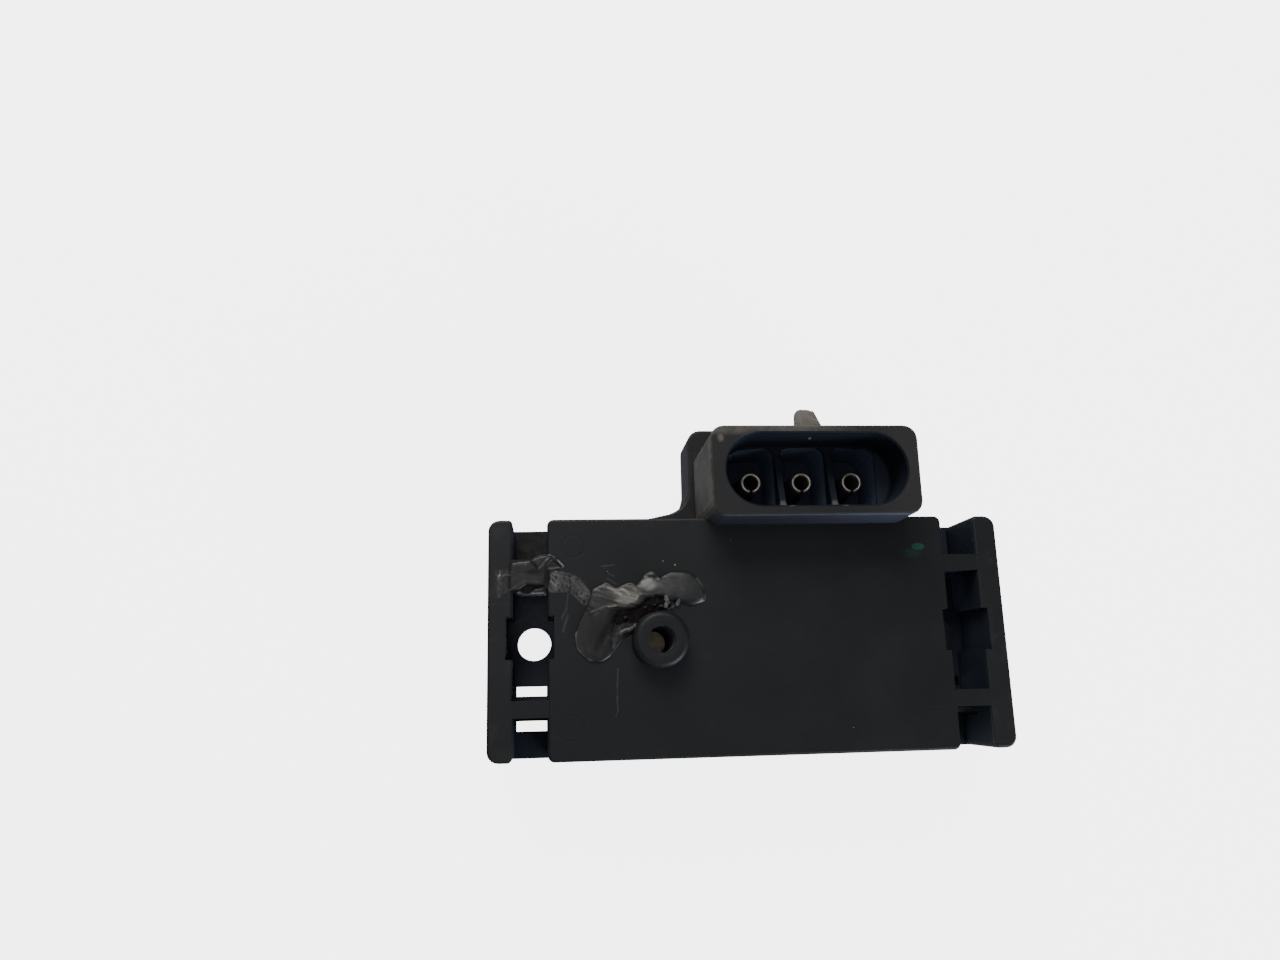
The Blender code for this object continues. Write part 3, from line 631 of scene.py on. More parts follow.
    def ejector_rings(self):
        """Shallow rings that the ejector pins left, and the discs inside them."""
        away = [(self.from_point(x, y), radius) for x, y, radius in EJECTOR_RINGS]
        rings = most_of(1.0 - abs(gap - radius).ramp(0.04, 0.22) for gap, radius in away)
        discs = most_of(1.0 - gap.ramp(radius - 0.1, radius) for gap, radius in away)
        return rings * self.front, discs * self.front

    def recess_painted_light(self, soil):
        """How far the socket, the ears' bays and the port's bore take the matt coat, and the painted light
        and shade of their tone.
        """
        x, y, z, up = self.x, self.y, self.z, self.up

        # clean(times) is the socket colour made lighter or darker as painted light and shade.
        def clean(times):
            return scaled(self.look.socket, times)

        tone = self.mix(z.ramp(SOCKET_FLOOR + 0.05, SOCKET_FLOOR + 0.4), clean(WELL_FLOOR), clean(WELL_WALL))
        ledge = self.mix(x.ramp(15.5, 17.0), clean(LEDGE), clean(RIGHT_LEDGE))
        tone = self.mix(z.ramp(16.0, 17.0), tone, ledge)
        tone = self.mix(z.ramp(17.2, 18.5) * (1.0 - up), tone, clean(SOCKET_WALL))
        tone = self.mix(z.ramp(22.6, 23.5), tone, clean(MOUTH))
        # Painted light on the tips of the key ribs.
        tips = 1.0 - abs(abs(x - TERMINAL_X["centre"]) - HALF_PITCH).ramp(0.2, 0.55)
        tips = tips * (1.0 - y.ramp(16.7, 17.3)) * z.ramp(18.6, 18.9)
        tone = self.mix(tips * up, tone, KEY_RIB_TIP)

        # The ears' bays: painted light lifts the floors and walls that the lamps hardly reach, the deep walls
        # of the right bay most.
        ends = abs(y).ramp(9.2, 9.6)
        right, upper = x.ramp(-1.0, 1.0), y.ramp(-1.0, 1.0)
        deep = self.mix(y.ramp(1.5, 5.0), clean(4.0), clean(13.0))
        walls = self.mix(right, LEFT_BAY_WALL, self.mix(z.ramp(8.5, 14.5), deep, clean(2.5)))
        walls = self.mix(ends, walls, self.mix(upper, clean(1.0), clean(1.3)))
        walls = self.mix(z.ramp(7.9, 8.2), clean(0.7), walls)
        floors = self.mix(y.ramp(-3.0, 4.5), LEFT_FLOOR_LOW, LEFT_FLOOR_HIGH)
        floors = self.mix(ends, floors, self.mix(upper, clean(1.7), UPPER_LEFT_FLOOR))
        floors = self.mix(right, floors, clean(2.0))
        beside = abs(y).ramp(2.85, 2.95)
        bay = (abs(x) - beside * 0.80).ramp(EAR_START - 0.05, EAR_START + 0.05)
        bay = bay * (1.0 - (abs(x) + beside * 0.85).ramp(RAIL_START - 0.05, RAIL_START + 0.05))
        bay = bay * (1.0 - z.ramp(16.5, 16.9)) * (1.0 - abs(y).ramp(15.0, 15.15)) * (1.0 - soil * 0.5)
        tone = self.mix(bay, tone, self.mix(up, walls, floors))

        # Painted light in the port's bore.
        bore = (1.0 - self.from_point(*PORT_MIDDLE).ramp(1.72, 1.80)) * (1.0 - z.ramp(19.9, 20.2))
        tone = self.mix(bore, tone, PORT_BORE_PAINTED_LIGHT)
        return most_of((bay * 0.95, self.socket * 0.93, bore)), tone


class SENSOR_OT_housing(Operator):
    """Give the moulded housing its plastic, dust and marks"""

    bl_idname = "sensor.housing"
    bl_label = "Housing"

    def execute(self, context):
        material = HousingFinish(context.scene.sensor.housing).material
        paint_node("housing", material)
        self.port_collar(material)
        self.lock_tab(material)
        return {"FINISHED"}

    def port_collar(self, material):
        """Rounded collar of the hose port, with the lining of its bore."""
        middle, bend, count = 2.78, 0.75, 14
        lip = [(middle + bend, 16.9), (middle + bend, PORT_TOP - bend)]
        for i in range(1, count + 1):
            a = math.radians(90 * i / count)
            lip.append((middle + bend * math.cos(a), PORT_TOP - 0.74 + bend * math.sin(a)))
        lip += [(2.3, PORT_TOP + 0.01), (1.90, PORT_TOP), (1.74, PORT_TOP - 0.06)]
        lip += [(1.66, PORT_TOP - 0.24), (1.655, SOCKET_FLOOR)]
        bm = bmesh.new()
        revolve(bm, lip, *PORT_MIDDLE)
        add_piece("port_collar", bm, material, 60)

    def lock_tab(self, material):
        """Rounded latch over the shroud, leaning left as it rises."""
        root, middle, lean = 26.02, 7.80, 0.13
        stages = (  # rise over the shroud, half width, rear and front
            (-0.4, 1.46, 19.0, 22.95), (0.0, 1.44, 19.0, 22.95), (0.6, 1.34, 19.05, 22.75),
            (1.3, 1.22, 19.1, 22.3), (2.1, 1.10, 19.15, 21.75), (2.6, 1.00, 19.2, 21.4),
            (2.85, 0.86, 19.35, 21.2), (2.97, 0.62, 19.6, 20.9),
        )
        bm = bmesh.new()
        rows = []
        for rise, half, rear, front in stages:
            soft = min(0.38, half * 0.6)
            row = []
            for sx, sz, start in ((1, 1, 0), (-1, 1, 90), (-1, -1, 180), (1, -1, 270)):
                for k in range(5):
                    a = math.radians(start + 90 * k / 4)
                    x = middle - lean * rise + sx * (half - soft) + soft * math.cos(a)
                    z = (front + rear) / 2 + sz * ((front - rear) / 2 - soft) + soft * math.sin(a)
                    row.append((x, root + rise, z))
            rows.append([bm.verts.new(co) for co in to_metres(row)])
        for low, high in zip(rows, rows[1:]):
            for k in range(len(low)):
                j = (k + 1) % len(low)
                bm.faces.new((low[k], low[j], high[j], high[k]))
        bm.faces.new(rows[0])
        bm.faces.new(rows[-1])
        add_piece("lock_tab_skin", bm, material, 60)


# Terminals
def terminal_finish(look):
    """Plated metal; deep in the socket it takes a painted shade and turns non-metallic."""
    f = Finish("plated_terminal_metal", look.metal, 0.3, metallic=1.0)
    fine = f.grain(0.25, 3.0, 0.6)
    # Painted shade: below the tip the tubes darken and lose their metal.
    deep = 1.0 - f.z.ramp(look.tip / MM - 0.75, look.tip / MM - 0.12)
    base = f.mix(f.grain(0.9, 2.0).ramp(0.35, 0.7), look.metal, scaled(look.metal, 0.75))
    base = f.mix(deep, base, look.painted_tube_shade)
    f.set(base_color=base, roughness=0.22 + fine * 0.2 + deep * 0.3, metallic=1.0 - deep)
    f.set(normal=f.bump(fine, 0.008))
    return f.material


class SENSOR_OT_terminals(Operator):
    """Model the three split tubes of the socket with their tails"""

    bl_idname = "sensor.terminals"
    bl_label = "Terminals"

    def execute(self, context):
        look = context.scene.sensor.terminals
        material = terminal_finish(look)
        outer = look.radius / MM
        inner = outer - look.wall / MM
        tip = look.tip / MM
        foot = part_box("terminal_left")[0][2] / MM
        turn = look.wall / MM / 2
        profile = [(outer, foot)]
        for i in range(9):
            a = math.radians(180 * i / 8)
            profile.append((inner + turn + turn * math.cos(a), tip - turn + turn * math.sin(a)))
        profile += [(inner, tip - 5.5), (0.05, tip - 5.8), (0.05, foot)]
        slit = 22.0
        tail_half, tail_thick, tail_top = 0.9, 0.8, 19.6
        for side, x in TERMINAL_X.items():
            node = "terminal_" + side
            bm = bmesh.new()
            revolve(bm, profile, x, TERMINAL_Y, 64, start=-90 + slit / 2, sweep=360.0 - slit)
            tail_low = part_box(node)[0][1] / MM - MIDDLE_Y / MM
            left, right = x - tail_half, x + tail_half
            outline = ((left, tail_low), (right, tail_low), (right, tail_top), (left, tail_top))
            corners = [(*corner, z) for z in (foot, foot + tail_thick) for corner in outline]
            verts = [bm.verts.new(co) for co in to_metres(corners)]
            for quad in ((0, 1, 2, 3), (7, 6, 5, 4), (0, 4, 5, 1), (1, 5, 6, 2), (2, 6, 7, 3), (3, 7, 4, 0)):
                bm.faces.new([verts[i] for i in quad])
            add_piece(node + "_tube", bm, material, 40, (node,))
        return {"FINISHED"}


# Melted repair: outlines, ridges and rims drawn as points on the front.
EAR_SMEAR = (
    (-33.18, 8.63), (-32.42, 8.75), (-31.54, 8.99), (-30.91, 9.62), (-29.9, 9.8), (-28.75, 9.92),
    (-27.99, 10.36), (-27.23, 10.61), (-26.46, 10.72), (-25.69, 10.46), (-24.93, 9.99), (-24.2, 9.15),
    (-24.81, 8.64), (-25.6, 8.55), (-26.05, 8.0), (-26.15, 6.74), (-26.55, 6.11), (-26.61, 5.35),
    (-28.4, 5.28), (-30.14, 5.35), (-30.9, 5.95), (-31.65, 5.81), (-32.4, 5.19), (-33.03, 5.33),
    (-33.16, 6.72),
)
# The hole is painted dark as the shadow of the bay's wall below it.
SMEAR_HOLE_SHADOW = (
    (-30.83, 5.94), (-30.04, 6.33), (-29.56, 6.68), (-28.97, 6.92), (-28.08, 6.82), (-27.21, 6.82),
    (-26.77, 6.52), (-27.21, 6.13), (-27.89, 6.04), (-28.48, 5.65), (-29.06, 5.45), (-29.75, 5.75),
    (-30.04, 5.84), (-30.43, 5.45), (-30.85, 5.26),
)
SMEAR_WING = (
    (-28.75, 9.95), (-27.85, 10.4), (-26.96, 10.68), (-25.81, 10.48), (-26.65, 9.5), (-27.6, 8.6),
    (-28.2, 9.2),
)
SMEAR_SHADE = ((-26.75, 8.8), (-25.94, 10.05), (-25.18, 9.78), (-24.6, 8.93), (-25.69, 8.6))
SMEAR_BAND = ((-26.42, 9.0), (-26.55, 7.57), (-26.7, 6.2))
SMEAR_LIP = ((-30.2, 5.6), (-28.6, 5.45), (-26.8, 5.5))
PALE_PATCH = (
    (-26.22, 8.28), (-25.71, 8.6), (-24.81, 8.51), (-24.05, 8.3), (-23.29, 8.17), (-22.43, 7.6),
    (-21.85, 7.02), (-21.35, 6.4), (-20.86, 5.75), (-20.8, 4.95), (-21.1, 4.15), (-21.72, 3.98),
    (-22.33, 4.42), (-23.06, 5.1), (-23.82, 5.69), (-24.84, 5.7), (-26.23, 5.79), (-26.28, 7.0),
)
PATCH_CRACK = ((-23.55, 7.4), (-23.48, 6.6), (-23.69, 5.65))
PATCH_SEAM = ((-24.7, 8.05), (-23.9, 7.92), (-22.9, 8.0))
RIBBON_EDGE = (
    (-21.03, 4.88), (-20.76, 5.89), (-20.11, 6.39), (-19.34, 6.76), (-18.82, 7.01), (-18.06, 6.49),
    (-17.43, 6.22), (-16.65, 6.59), (-15.87, 6.84), (-14.97, 6.7), (-14.44, 7.2), (-14.17, 7.72),
    (-13.64, 8.03), (-12.99, 8.22), (-12.48, 7.95), (-11.98, 7.42), (-11.18, 7.8), (-10.26, 8.18),
    (-9.22, 8.29), (-8.31, 8.15), (-7.66, 7.88), (-7.16, 7.35), (-6.66, 6.7), (-6.3, 5.92), (-6.08, 5.14),
    (-6.04, 4.5), (-6.51, 4.12), (-7.3, 3.88), (-8.21, 3.76), (-9.11, 3.91), (-9.88, 4.08), (-10.28, 3.67),
    (-11.07, 3.3), (-12.1, 3.19), (-13.4, 2.96), (-14.31, 2.47), (-14.96, 1.85), (-15.35, 0.72),
    (-15.77, 0.23), (-16.67, -0.25), (-17.58, -1.23), (-18.36, -2.34), (-19.51, -3.06), (-20.52, -3.09),
    (-21.39, -2.77), (-22.26, -2.0), (-22.69, -1.37), (-22.87, -0.38), (-22.92, 0.5), (-22.6, 1.49),
    (-22.08, 2.62), (-21.56, 3.62),
)
HOLLOW = (
    (-18.15, 1.79), (-17.63, 2.79), (-16.59, 3.28), (-15.56, 3.64), (-14.65, 4.0), (-13.99, 4.76),
    (-13.08, 5.13), (-12.04, 5.24), (-11.02, 4.84), (-10.27, 4.18), (-10.4, 3.45), (-12.1, 3.05),
    (-13.39, 2.8), (-14.44, 2.2), (-15.0, 1.6), (-15.49, 1.36), (-16.5, 1.5), (-17.4, 1.14),
)
RIBBON_SPINE = (
    (-20.78, 4.62), (-19.75, 4.98), (-18.22, 5.08), (-16.68, 5.19), (-15.26, 5.55), (-13.95, 6.3),
    (-13.03, 6.92), (-12.0, 6.65), (-10.45, 6.37), (-8.9, 6.09), (-7.9, 5.75),
)
LOBE_SPINE = ((-19.9, 4.6), (-19.77, 3.84), (-20.17, 2.58), (-20.63, 1.08), (-20.95, -0.41), (-20.55, -1.45))
HOOK = ((-15.06, 1.37), (-15.71, 0.76), (-16.48, 0.64), (-17.13, 0.28))
RIBBON_PEAK = ((-14.46, 6.56), (-13.66, 7.45), (-13.0, 7.96), (-12.49, 7.69))
RIBBON_CREST = ((-21.0, 2.9), (-20.0, 3.35), (-18.9, 3.72), (-17.7, 3.83), (-16.4, 3.7))
# The rims are raised and also carry painted highlight lines.
RIGHT_RIM = ((-7.04, 7.32), (-6.61, 6.66), (-6.12, 5.88), (-6.01, 5.42), (-5.99, 4.91), (-6.01, 4.46))
LEFT_RIM = (
    (-22.84, 0.52), (-22.92, -0.61), (-22.73, -1.36), (-22.36, -1.86), (-21.99, -2.37), (-21.62, -2.75),
    (-20.87, -3.01),
)

# Lighter and darker places, whitened plastic together with painted highlights and painted shade: x, y, half
# width, half height, turn in degrees, amount.
RIBBON_PLACES = (
    (-19.9, 4.8, 1.2, 1.6, 0, 0.2), (-17.1, 5.45, 1.8, 1.0, -28, 0.72), (-17.0, 4.2, 2.2, 0.6, 3, 0.42),
    (-15.1, 5.6, 0.8, 1.1, 0, 0.48), (-13.5, 6.5, 1.35, 0.95, 6, 0.92), (-13.0, 8.0, 0.5, 0.25, 20, 0.6),
    (-13.1, 7.52, 0.5, 0.14, 0, -0.6), (-11.2, 6.3, 0.9, 1.3, 0, 0.36), (-9.4, 6.3, 1.1, 1.9, 0, 0.24),
    (-7.2, 5.8, 1.2, 1.8, 0, 0.14), (-8.07, 7.9, 0.25, 0.2, 0, 0.5), (-9.6, 7.9, 1.2, 0.22, 0, 0.2),
    (-20.2, 3.0, 1.3, 1.3, 30, 0.12), (-18.54, -0.32, 0.3, 0.3, 0, 0.14), (-18.05, -1.3, 0.22, 0.3, 0, 0.22),
    (-8.6, 4.2, 2.0, 0.25, 0, -0.15),
)
SMEAR_PLACES = (
    (-31.5, 8.36, 0.65, 0.2, 0, 0.36), (-29.26, 9.42, 0.42, 0.25, 0, 0.36), (-30.3, 9.25, 0.7, 0.18, 0, 0.18),
    (-29.3, 9.0, 1.8, 0.7, 0, 0.08), (-29.8, 7.3, 2.0, 0.8, 8, 0.1), (-25.15, 9.35, 0.3, 0.2, 0, 0.1),
)

# Lighter and darker lines, whitened streaks together with painted highlights and painted shade: points,
# width, amount.
RIBBON_LINES = (
    (((-18.2, 6.6), (-17.27, 6.3), (-16.7, 5.95), (-16.0, 5.35)), 0.26, 0.34),
    (((-18.7, 6.2), (-17.8, 5.75), (-17.0, 5.3)), 0.26, 0.24),
    (((-15.2, 6.75), (-14.3, 6.9), (-13.4, 7.0)), 0.25, 0.25), (((-18.73, 3.76), (-17.7, 3.83)), 0.13, 0.65),
    (((-19.75, 3.42), (-18.99, 3.53)), 0.12, 0.32), (((-20.4, 2.73), (-20.01, 3.11)), 0.22, 0.25),
    (((-16.3, 4.3), (-15.3, 4.6), (-14.9, 5.0)), 0.28, 0.3),
    (((-19.04, 0.07), (-19.57, -1.18), (-19.85, -2.42)), 0.55, 0.1),
    (((-17.24, 0.91), (-17.77, -0.08), (-18.05, -1.33)), 0.42, 0.18),
    (((-17.6, 3.1), (-18.6, 2.0), (-19.54, 0.58), (-20.2, -1.04), (-21.0, -2.2)), 0.75, -0.3),
    (((-14.6, 5.35), (-13.2, 5.3), (-11.9, 5.5)), 0.16, 0.25),
)
SMEAR_LINES = (
    (((-32.5, 7.7), (-32.56, 6.9), (-32.5, 6.2), (-32.62, 5.4)), 0.42, 0.42),
    (((-31.9, 5.84), (-31.2, 6.1), (-30.5, 6.45)), 0.16, 0.3),
    (((-28.75, 9.98), (-27.85, 10.42), (-26.96, 10.68), (-26.2, 10.6)), 0.2, 0.22),
    (((-31.9, 5.84), (-30.77, 6.36), (-29.89, 6.85), (-29.13, 7.24), (-28.37, 7.25), (-27.5, 7.15)),
     0.2, 0.22),
    (((-30.02, 5.8), (-29.64, 5.5), (-28.88, 5.4), (-28.0, 5.45), (-27.36, 5.5), (-26.7, 5.45)), 0.34, 0.4),
    (((-27.6, 8.75), (-26.9, 9.6), (-26.0, 10.4)), 0.16, 0.16), (((-28.5, 9.75), (-27.4, 10.2)), 0.14, 0.18),
    (((-27.45, 6.95), (-27.1, 6.4), (-26.8, 6.1)), 0.2, 0.15),
)
SMEAR_GLINTS = (
    (((-25.05, 9.85), (-24.54, 9.3), (-24.32, 9.07)), 0.17, 0.8),
    (((-26.2, 10.56), (-25.8, 10.5), (-25.45, 10.28)), 0.17, 0.7),
    (((-32.45, 8.6), (-32.48, 8.1), (-32.6, 7.9)), 0.16, 0.6), (((-32.9, 8.05), (-32.4, 8.05)), 0.14, 0.5),
    (((-32.1, 8.0), (-31.6, 8.08), (-31.1, 7.98)), 0.18, 0.5),
    (((-27.5, 8.8), (-27.2, 9.07), (-26.8, 9.3)), 0.14, 0.35),
)

# Crumbs: x, y, z, half width, half length, turn in degrees, tone.
CRUMBS = (
    (-11.15, 4.6, 17.45, 0.3, 0.46, 10, 0.62), (-11.25, 3.85, 17.45, 0.24, 0.42, -15, 0.66),
    (-11.0, 4.2, 17.4, 0.22, 0.3, 40, 0.5), (-9.72, 4.12, 17.35, 0.24, 0.52, -38, 0.5),
    (-11.9, 3.75, 17.3, 0.26, 0.18, 0, 0.28), (-10.45, 3.62, 17.25, 0.26, 0.18, 20, 0.28),
    (-15.3, 1.15, 17.45, 0.3, 0.18, 40, 0.55), (-15.75, 0.8, 17.35, 0.24, 0.16, 30, 0.45),
    (-12.7, 3.9, 17.2, 0.22, 0.18, 0, 0.22), (-16.5, 2.3, 17.25, 0.26, 0.2, 0, 0.2),
    (-13.9, 3.6, 17.2, 0.2, 0.16, 0, 0.24), (7.75, 24.86, 21.8, 0.24, 0.18, 0, 0.75),
    (-25.35, 7.9, 17.3, 0.24, 0.18, 30, 0.6), (-22.3, 5.2, 17.4, 0.22, 0.16, -30, 0.6),
)
WARM_STAIN = (0.15, 0.125, 0.085)


def swell(spots, path, width, height):
    """Rounded ridge along a path, with the distance along and across it."""
    away, along, side = from_path(spots, rounded(path, 8, closed=False))
    return height * np.sqrt(np.clip(1 - (away / width) ** 2, 0, 1)), along, away * side


def thread(spots, path, width):
    """1 on a thin line, 0 beyond its width."""
    away = from_path(spots, rounded(path, 8, closed=False))[0]
    return 1 - ease(away, width * 0.3, width)


def blob(spots, x, y, rx, ry, turn=0.0):
    """1 in the middle of an oval place, fading out round it."""
    a = math.radians(turn)
    dx, dy = spots[:, 0] - x, spots[:, 1] - y
    u = (dx * math.cos(a) + dy * math.sin(a)) / rx
    v = (dy * math.cos(a) - dx * math.sin(a)) / ry
    return np.exp(-0.8 * (u * u + v * v) ** 1.35)


def marked(spots, places, lines):
    """Sum of the lighter and darker places and lines."""
    tone = np.zeros(len(spots))
    for *place, amount in places:
        tone = tone + amount * blob(spots, *place)
    for path, width, amount in lines:
        tone = tone + amount * thread(spots, path, width)
    return tone


def within(spots, outline, soft):
    """1 inside an outline, easing in from its edge."""
    loop = rounded(outline, 6)
    away = from_path(spots, loop, True)[0]
    return np.where(inside(spots, loop), ease(away, 0.0, soft), 0.0)


def dome(away, low, high, reach):
    """Round shoulder that climbs from low by high over reach millimetres from the edge."""
    return low + high * np.sqrt(1 - (1 - np.clip(away / reach, 0, 1)) ** 2)


def highest(*layers):
    """The largest of several layers at each spot."""
    return reduce(np.maximum, layers)


def limited(value):
    """A tone kept between 0 and 1."""
    return np.clip(value, 0, 1)


def stacked(one, two):
    """Coordinates for ripples."""
    return np.stack([one, two], 1)


def ribbon_shape(spots, away):
    """Glossy ribbon with a lobe on its left, a scorched hollow, raised rims with painted highlights and
    painted shade down the lobe.
    """
    x, y = spots[:, 0], spots[:, 1]
    ribbon, along, across = swell(spots, RIBBON_SPINE, 2.0, 0.45)
    lobe, lobe_along, lobe_across = swell(spots, LOBE_SPINE, 2.4, 0.34)
    peak = swell(spots, RIBBON_PEAK, 0.75, 0.75)[0]
    hook = swell(spots, HOOK, 0.30, 0.35)[0]
    height = dome(away, 0.03, 0.10, 0.8) + highest(ribbon, lobe) + peak * 0.8
    on_ribbon = ease(ribbon - lobe, -0.10, 0.12)
    fan = y - 4.6 + 0.45 * (x + 17.0)
    drawn = stacked(along * 0.25 + fan * 0.1, fan * 1.3 + across * 0.7)
    streaks = ripples(drawn, 0.7, 3.0)
    fine = ripples(drawn, 0.24, 5.0) * on_ribbon
    bends = ripples(stacked(lobe_along * 0.18, lobe_across * 1.1), 0.9, 9.0) * (1 - on_ribbon)
    calm = (1 - 0.85 * ease(x, -11.6, -10.2)) * on_ribbon
    rims = highest(thread(spots, RIGHT_RIM, 0.17), thread(spots, LEFT_RIM, 0.17))
    height = height + (streaks * 0.06 * calm + fine * 0.015 * calm + bends * 0.04) * ease(away, 0.0, 0.5)
    height = height + thread(spots, RIBBON_CREST, 0.22) * 0.08 + rims * 0.10
    sink = within(spots, HOLLOW, 0.45)
    rubble = 0.06 + 0.10 * np.abs(ripples(spots, 0.6, 7.0)) + 0.05 * np.abs(ripples(spots, 0.25, 8.0))
    height = highest(height * (1 - sink) + rubble * sink + hook * 0.4, 0.03)
    pale = 0.02 + marked(spots, RIBBON_PLACES, RIBBON_LINES) * ease(away, 0.0, 0.45)
    white = blob(spots, -13.5, 6.5, 1.5, 1.1)
    pale = pale + (streaks * 0.12 + fine * 0.07) * calm * (1 - 0.8 * white) + bends * 0.05
    # Painted highlights: the rims get pale lines; the hook is paler too.
    pale = pale + rims * 0.65 + hook * 0.8
    # Painted shade: the valley down the lobe, the shadow under the hook and the dark shading beside the lobe
    # join the scorched hollow in the dark matt mark.
    valley_shade = 0.45 * blob(spots, -18.3, 1.5, 0.8, 2.2, -42) + 0.40 * blob(spots, -20.0, -0.9, 0.7, 1.9, -26)
    burn_and_shade = highest(
        sink * 1.1, valley_shade, blob(spots, -15.96, -0.1, 0.35, 0.28),
        0.75 * blob(spots, -17.9, 2.3, 0.45, 1.3, -38), 0.30 * blob(spots, -20.6, 0.6, 1.7, 2.6, -14),
    )
    return height, limited(pale * (1 - 0.9 * sink)), limited(burn_and_shade)


def smear_shape(spots, away):
    """Dark smear over the ear's rib, with a pleated wing, a torn hole painted with the shadow of the bay's
    wall below it, painted shade by the wing and a scraped end on the rail.
    """
    x, y = spots[:, 0], spots[:, 1]
    on_rail = 1 - ease(x, -31.6, -30.9)
    hole = within(spots, SMEAR_HOLE_SHADOW, 0.25)
    wing = within(spots, SMEAR_WING, 0.4)
    shade = within(spots, SMEAR_SHADE, 0.35)
    band = thread(spots, SMEAR_BAND, 0.65)
    # Painted shade: the hole, the shade by the wing and dark shading high in the middle, with a darker band
    # down the ear's edge; all of it goes into the dark matt mark.
    dark = highest(hole, shade * 0.7, band * 0.55, 0.5 * blob(spots, -28.1, 8.35, 1.5, 0.55))
    lip = thread(spots, SMEAR_LIP, 0.30)
    slope = (x + 27.6) * 0.66 + (y - 8.6) * 0.75
    across = (y - 8.6) * 0.66 - (x + 27.6) * 0.75
    pleats = ripples(stacked(slope * 0.25, across * 1.5), 0.42, 12.0)
    waves = ripples(spots, 1.6, 2.0, sx=0.45) * 0.06 + ripples(spots, 0.5, 4.0, sx=0.5) * 0.02
    height = dome(away, 0.04, 0.22, 0.6) * (1 - 0.85 * on_rail)
    height = height + wing * (0.14 + 0.05 * slope + pleats * 0.05) + lip * 0.12
    height = highest((height + waves * ease(away, 0, 0.4)) * (1 - 0.8 * highest(hole, shade)), 0.03)
    scrape = ease(ripples(stacked(x * 1.2, y * 0.6), 0.4, 6.0), 0.10, 0.5)
    pale = wing * (0.08 + pleats * 0.18) + marked(spots, SMEAR_PLACES, SMEAR_LINES) * (0.5 + 0.4 * scrape)
    pale = pale + scrape * on_rail * 0.14 * ease(away, 0.0, 0.3) + waves * 0.8
    pale = pale * (1 - dark) + marked(spots, (), SMEAR_GLINTS)
    return height, limited(pale), dark * (1 - 0.6 * shade)


def patch_shape(spots, away):
    """Pale torn patch: fibres, pits, a crack and a seam."""
    x, y = spots[:, 0], spots[:, 1]
    fibres = ripples(stacked((x * 0.70 - y * 0.71) * 0.5, (x * 0.71 + y * 0.70) * 1.8), 0.5, 1.0)
    grit = ripples(spots, 0.24, 2.0)
    pits = ease(ripples(spots, 0.36, 6.0), 0.5, 0.9)
    rim = ease(away, 0.0, 0.25)
    height = 0.04 + 0.20 * ease(away, 0.0, 0.7) + (fibres * 0.04 + grit * 0.04) * rim - pits * 0.06
    left = 1 - ease(x, -25.2, -24.4)
    tail = blob(spots, -21.8, 4.9, 1.2, 1.2)
    speckled = highest(blob(spots, -24.1, 6.5, 0.75, 0.75), 0.7 * blob(spots, -23.0, 5.9, 0.6, 0.8))
    specks = ease(ripples(spots, 0.20, 11.0), 0.15, 0.5) * speckled
    cracks = highest(thread(spots, PATCH_CRACK, 0.16), thread(spots, PATCH_SEAM, 0.14))
    pits = highest(pits, specks, cracks * 0.8)
    pale = 0.46 + 0.08 * left + 0.10 * tail + fibres * 0.12 + grit * 0.10 - pits * 0.42
    return highest(height, 0.03), limited(pale - 0.25 * (1 - rim)), limited(pits * 0.4)


def melt_finish(name, look, roughness, bump_depth, coat):
    """Melted plastic: the mesh's tone picks the colour; its dark mark turns it scorched and matt, standing
    for real scorch and for painted shade.
    """
    f = Finish(name, look.middle, roughness, coat_weight=coat, specular_ior_level=0.4)
    tone = f.node("ShaderNodeAttribute", {"attribute_name": "tone"}, {})["Fac"]
    burn_and_shade = f.node("ShaderNodeAttribute", {"attribute_name": "burn_and_shade"}, {})["Fac"]
    fine = f.grain(0.14, 3.0, 0.65)
    veins = f.grain(0.8, 3.0, 0.6, warp=1.2)
    amount = (tone + (fine - 0.5) * 0.22 + (veins - 0.5) * 0.16).least(1.0).most(0.0)
    base = f.mix(amount.ramp(0.0, 0.5), look.dark, look.middle)
    base = f.mix(amount.ramp(0.42, 1.0), base, look.pale)
    base = f.mix(veins.ramp(0.5, 0.75) * 0.35 * amount, base, WARM_STAIN)
    # Scorch colour, used also for painted shade.
    scorched = f.mix(veins.ramp(0.4, 0.65), look.burnt_and_shaded, scaled(look.burnt_and_shaded, 2.2))
    base = f.mix(burn_and_shade, base, scorched)
    rough = (roughness + amount * 0.22 + (fine - 0.5) * 0.2 + burn_and_shade * 0.25).least(0.95)
    normal = f.bump(fine * 0.7 + veins * 0.5, bump_depth)
    f.set(base_color=base, roughness=rough, normal=normal)
    f.dull(burn_and_shade.ramp(0.1, 0.8), base, 0.8, 0.05, normal)
    return f.material


